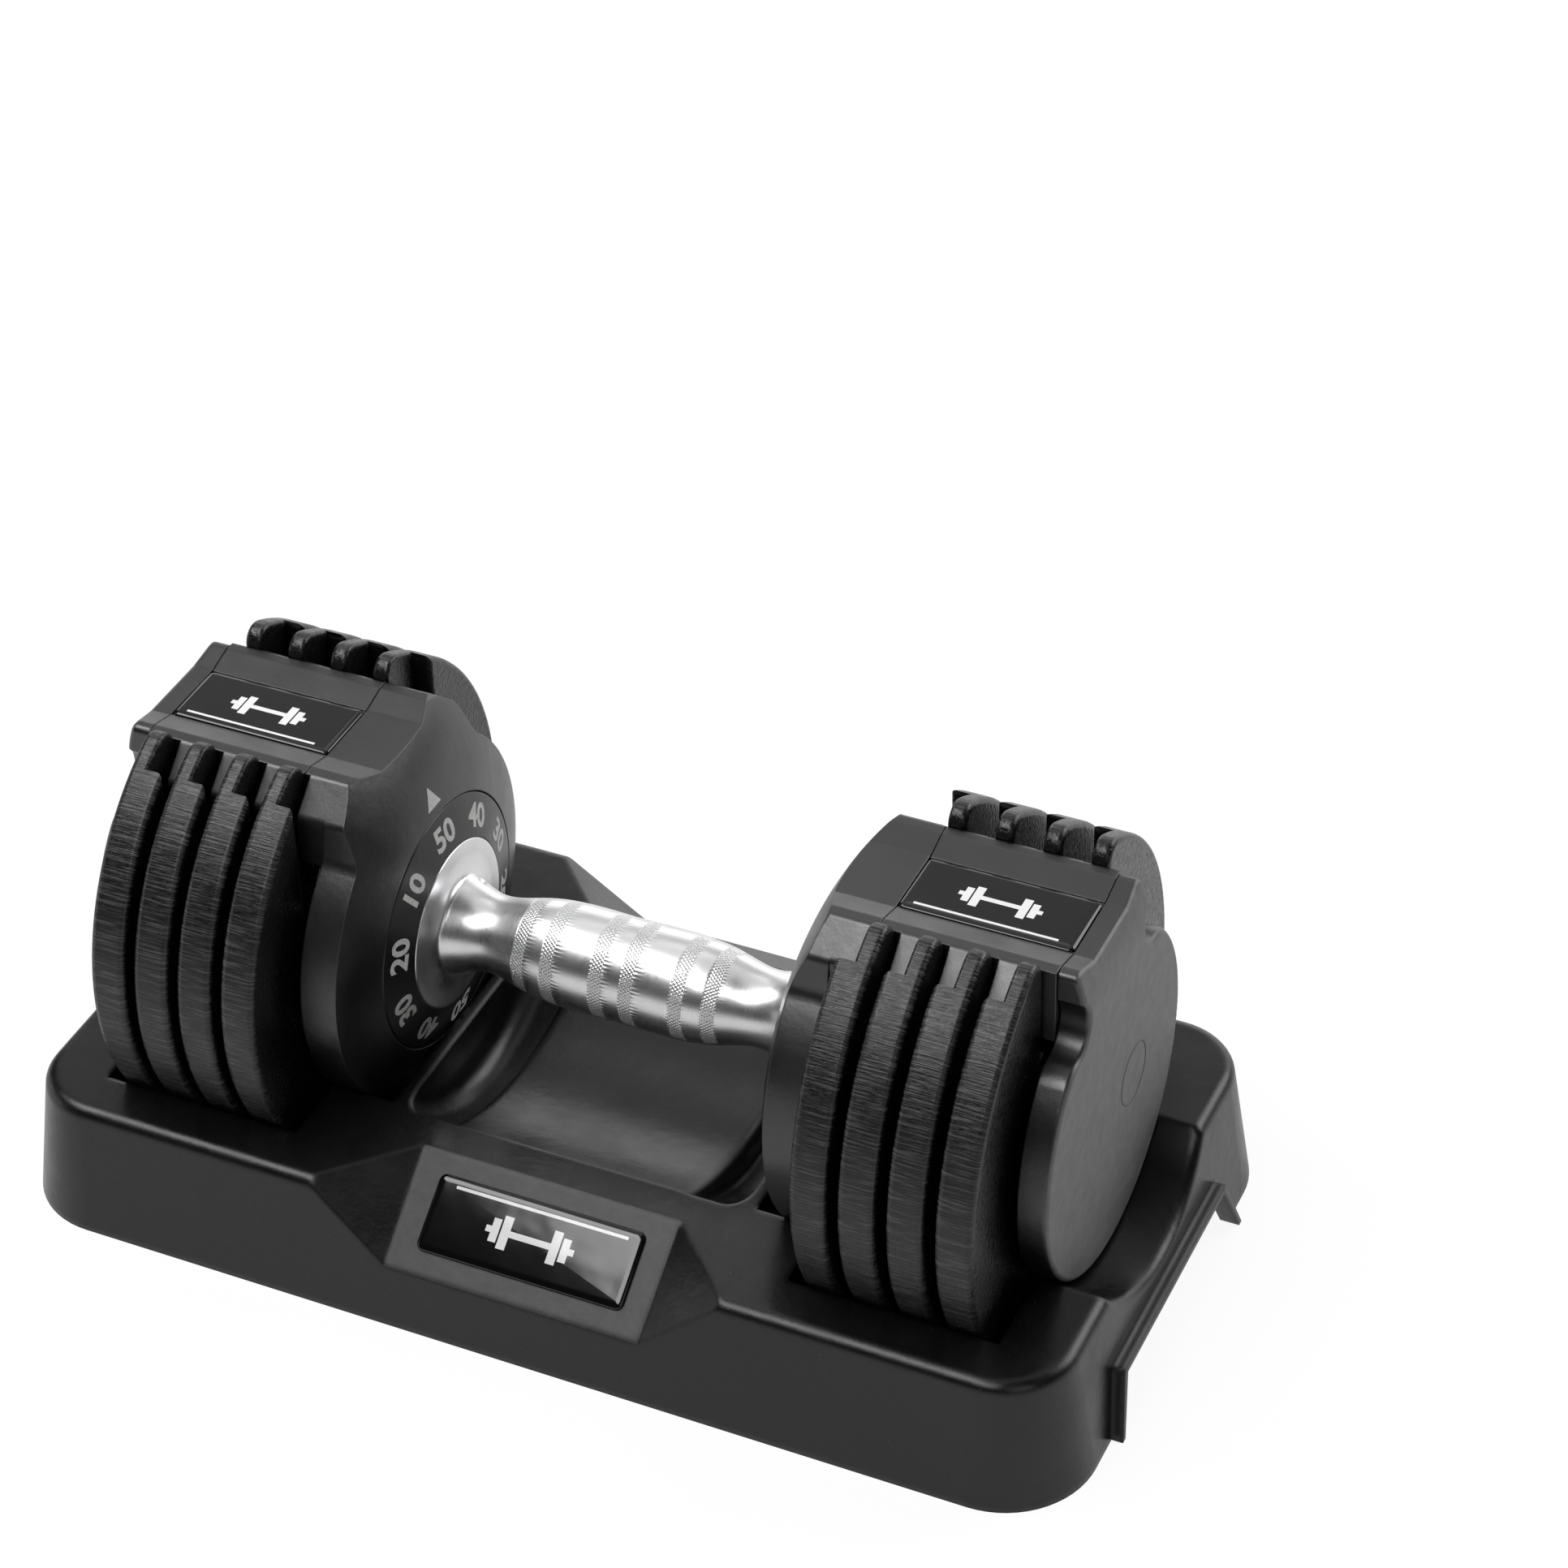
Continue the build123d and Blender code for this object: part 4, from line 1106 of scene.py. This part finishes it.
@dataclass(frozen=True)
class SoftLight:
    """Rectangular soft light: its place and its two sides in metres, its power in watts."""

    name: str
    place: Point
    sides: tuple[float, float]
    power: float

    def hang(self, aim: Point) -> None:
        """Hang the light so that it looks at a point.

        Args:
            aim: the point, in metres.
        """
        data = bpy.data.lights.new(self.name, "AREA")
        data.shape, data.energy = "RECTANGLE", self.power
        data.size, data.size_y = self.sides
        lamp = bpy.data.objects.new(self.name, data)
        lamp.location = self.place
        towards = Vector(aim) - Vector(self.place)
        lamp.rotation_euler = towards.to_track_quat("-Z", "Y").to_euler()
        bpy.context.scene.collection.objects.link(lamp)


@dataclass
class Studio:
    """Camera at the photograph's place, soft lights, white floor and surroundings, in metres."""

    camera_place: Point = (0.57607, -1.07526, 1.11199)
    azimuth: float = 25.450
    elevation: float = 37.285
    roll: float = 1.680
    lens: float = 98.23
    sensor: float = 36.0
    clip: tuple[float, float] = (0.05, 50.0)
    floor_half: float = 6.0
    floor_colour: str = "#c8c8c8"
    floor_glow: float = 1.08
    floor_seen: float = 0.85
    floor_mirrored: float = 0.5
    sky_light: float = 0.015
    sky_mirrored: float = 0.02
    sky_seen: float = 1.0
    aim: Point = (0.0, 0.0, 0.08)
    lights: tuple[SoftLight, ...] = (
        SoftLight("key", (-0.45, -0.5, 1.32), (1.8, 0.45), 19.0),
        SoftLight("overhead", (-0.35, 0.15, 1.4), (1.8, 1.1), 4.8),
        SoftLight("rear top", (-0.4, 1.15, 1.3), (2.0, 0.9), 3.0),
        SoftLight("backdrop", (-0.5, 2.2, 0.6), (3.6, 1.2), 22.0),
        SoftLight("rear right", (0.9, 0.9, 0.9), (0.9, 0.9), 12.0),
        SoftLight("right fill", (1.3, -1.2, 1.0), (0.9, 0.9), 2.8),
        SoftLight("left fill", (-2.0, -0.3, 0.35), (1.6, 0.9), 4.5),
    )

    def add_camera(self) -> None:
        """Stand the camera at its place, turned to the azimuth, elevation and roll."""
        a, e, roll = np.radians([self.azimuth, self.elevation, self.roll])
        back = np.array([np.sin(a) * np.cos(e), -np.cos(a) * np.cos(e), np.sin(e)])
        right = np.cross(-back, [0, 0, 1])
        right /= np.linalg.norm(right)
        down = np.cross(-back, right)
        image_right = np.cos(roll) * right + np.sin(roll) * down
        image_down = -np.sin(roll) * right + np.cos(roll) * down
        turned = np.eye(4)
        turned[:3, :3] = np.stack([image_right, -image_down, back], 1)
        turned[:3, 3] = self.camera_place
        data = bpy.data.cameras.new("camera")
        data.lens, data.sensor_width = self.lens, self.sensor
        data.clip_start, data.clip_end = self.clip
        camera = bpy.data.objects.new("camera", data)
        camera.matrix_world = Matrix(turned.tolist())
        bpy.context.scene.collection.objects.link(camera)
        bpy.context.scene.camera = camera

    def add_floor(self) -> None:
        """Lay a wide white floor that keeps a pale shadow."""
        material, tree, _ = start_material("white floor")
        path = add_node(tree, "LightPath")
        matt = add_node(tree, "BsdfDiffuse", {"Color": linear(self.floor_colour)})
        glow = add_node(tree, "Emission", {"Color": linear(WHITE), "Strength": self.floor_glow})
        seen = add_node(tree, "Math", {0: path.outputs["Is Camera Ray"], 1: self.floor_seen},
                        operation="MULTIPLY")
        share = add_node(tree, "Math", {0: path.outputs["Is Glossy Ray"], 1: self.floor_mirrored,
                                        2: seen.outputs[0]}, operation="MULTIPLY_ADD")
        mixed = add_node(tree, "MixShader", {0: share.outputs[0], 1: matt.outputs[0],
                                             2: glow.outputs[0]})
        add_node(tree, "OutputMaterial", {"Surface": mixed.outputs[0]})
        mesh = bpy.data.meshes.new("floor")
        h = self.floor_half
        mesh.from_pydata([(-h, -h, 0), (h, -h, 0), (h, h, 0), (-h, h, 0)], [], [(0, 1, 2, 3)])
        mesh.materials.append(material)
        floor = bpy.data.objects.new("floor", mesh)
        bpy.context.scene.collection.objects.link(floor)

    def add_world(self) -> None:
        """Surround the scene with white for the camera and a dim grey for the light."""
        world = bpy.data.worlds.new("studio")
        world.use_nodes = True
        tree = world.node_tree
        tree.nodes.clear()
        path = add_node(tree, "LightPath")
        mirrored = add_node(tree, "Math", {0: path.outputs["Is Glossy Ray"],
                                           1: self.sky_mirrored, 2: self.sky_light},
                            operation="MULTIPLY_ADD")
        strength = add_node(tree, "Math", {0: path.outputs["Is Camera Ray"], 1: self.sky_seen,
                                           2: mirrored.outputs[0]}, operation="MULTIPLY_ADD")
        sky = add_node(tree, "Background",
                       {"Color": linear(WHITE), "Strength": strength.outputs[0]})
        add_node(tree, "OutputWorld", {"Surface": sky.outputs[0]})
        bpy.context.scene.world = world

    def build(self) -> None:
        """Set up the camera, the floor, the surroundings and the lights."""
        self.add_camera()
        self.add_floor()
        self.add_world()
        for light in self.lights:
            light.hang(self.aim)
        bpy.context.scene.view_settings.view_transform = "Standard"


def main() -> None:
    """Dress the CAD pieces, add the new ones, set up the studio and report each piece."""
    logging.basicConfig(level=logging.INFO)
    pieces = CadFinishes().dress()
    pieces.append(Grip().build(SatinSteel().material()))
    ink = WhiteInk().material()
    dial = Dial()
    for name, side in SIDES.items():
        pieces.append(dial.build_numbers(name, side, ink))
        pieces.append(dial.build_pointer(name, side, ink))
    pieces += Labels().build()
    Studio().build()
    for piece in pieces:
        LOG.info("%s: %d points", piece.name, len(piece.data.vertices))


if __name__ == "__main__":
    main()
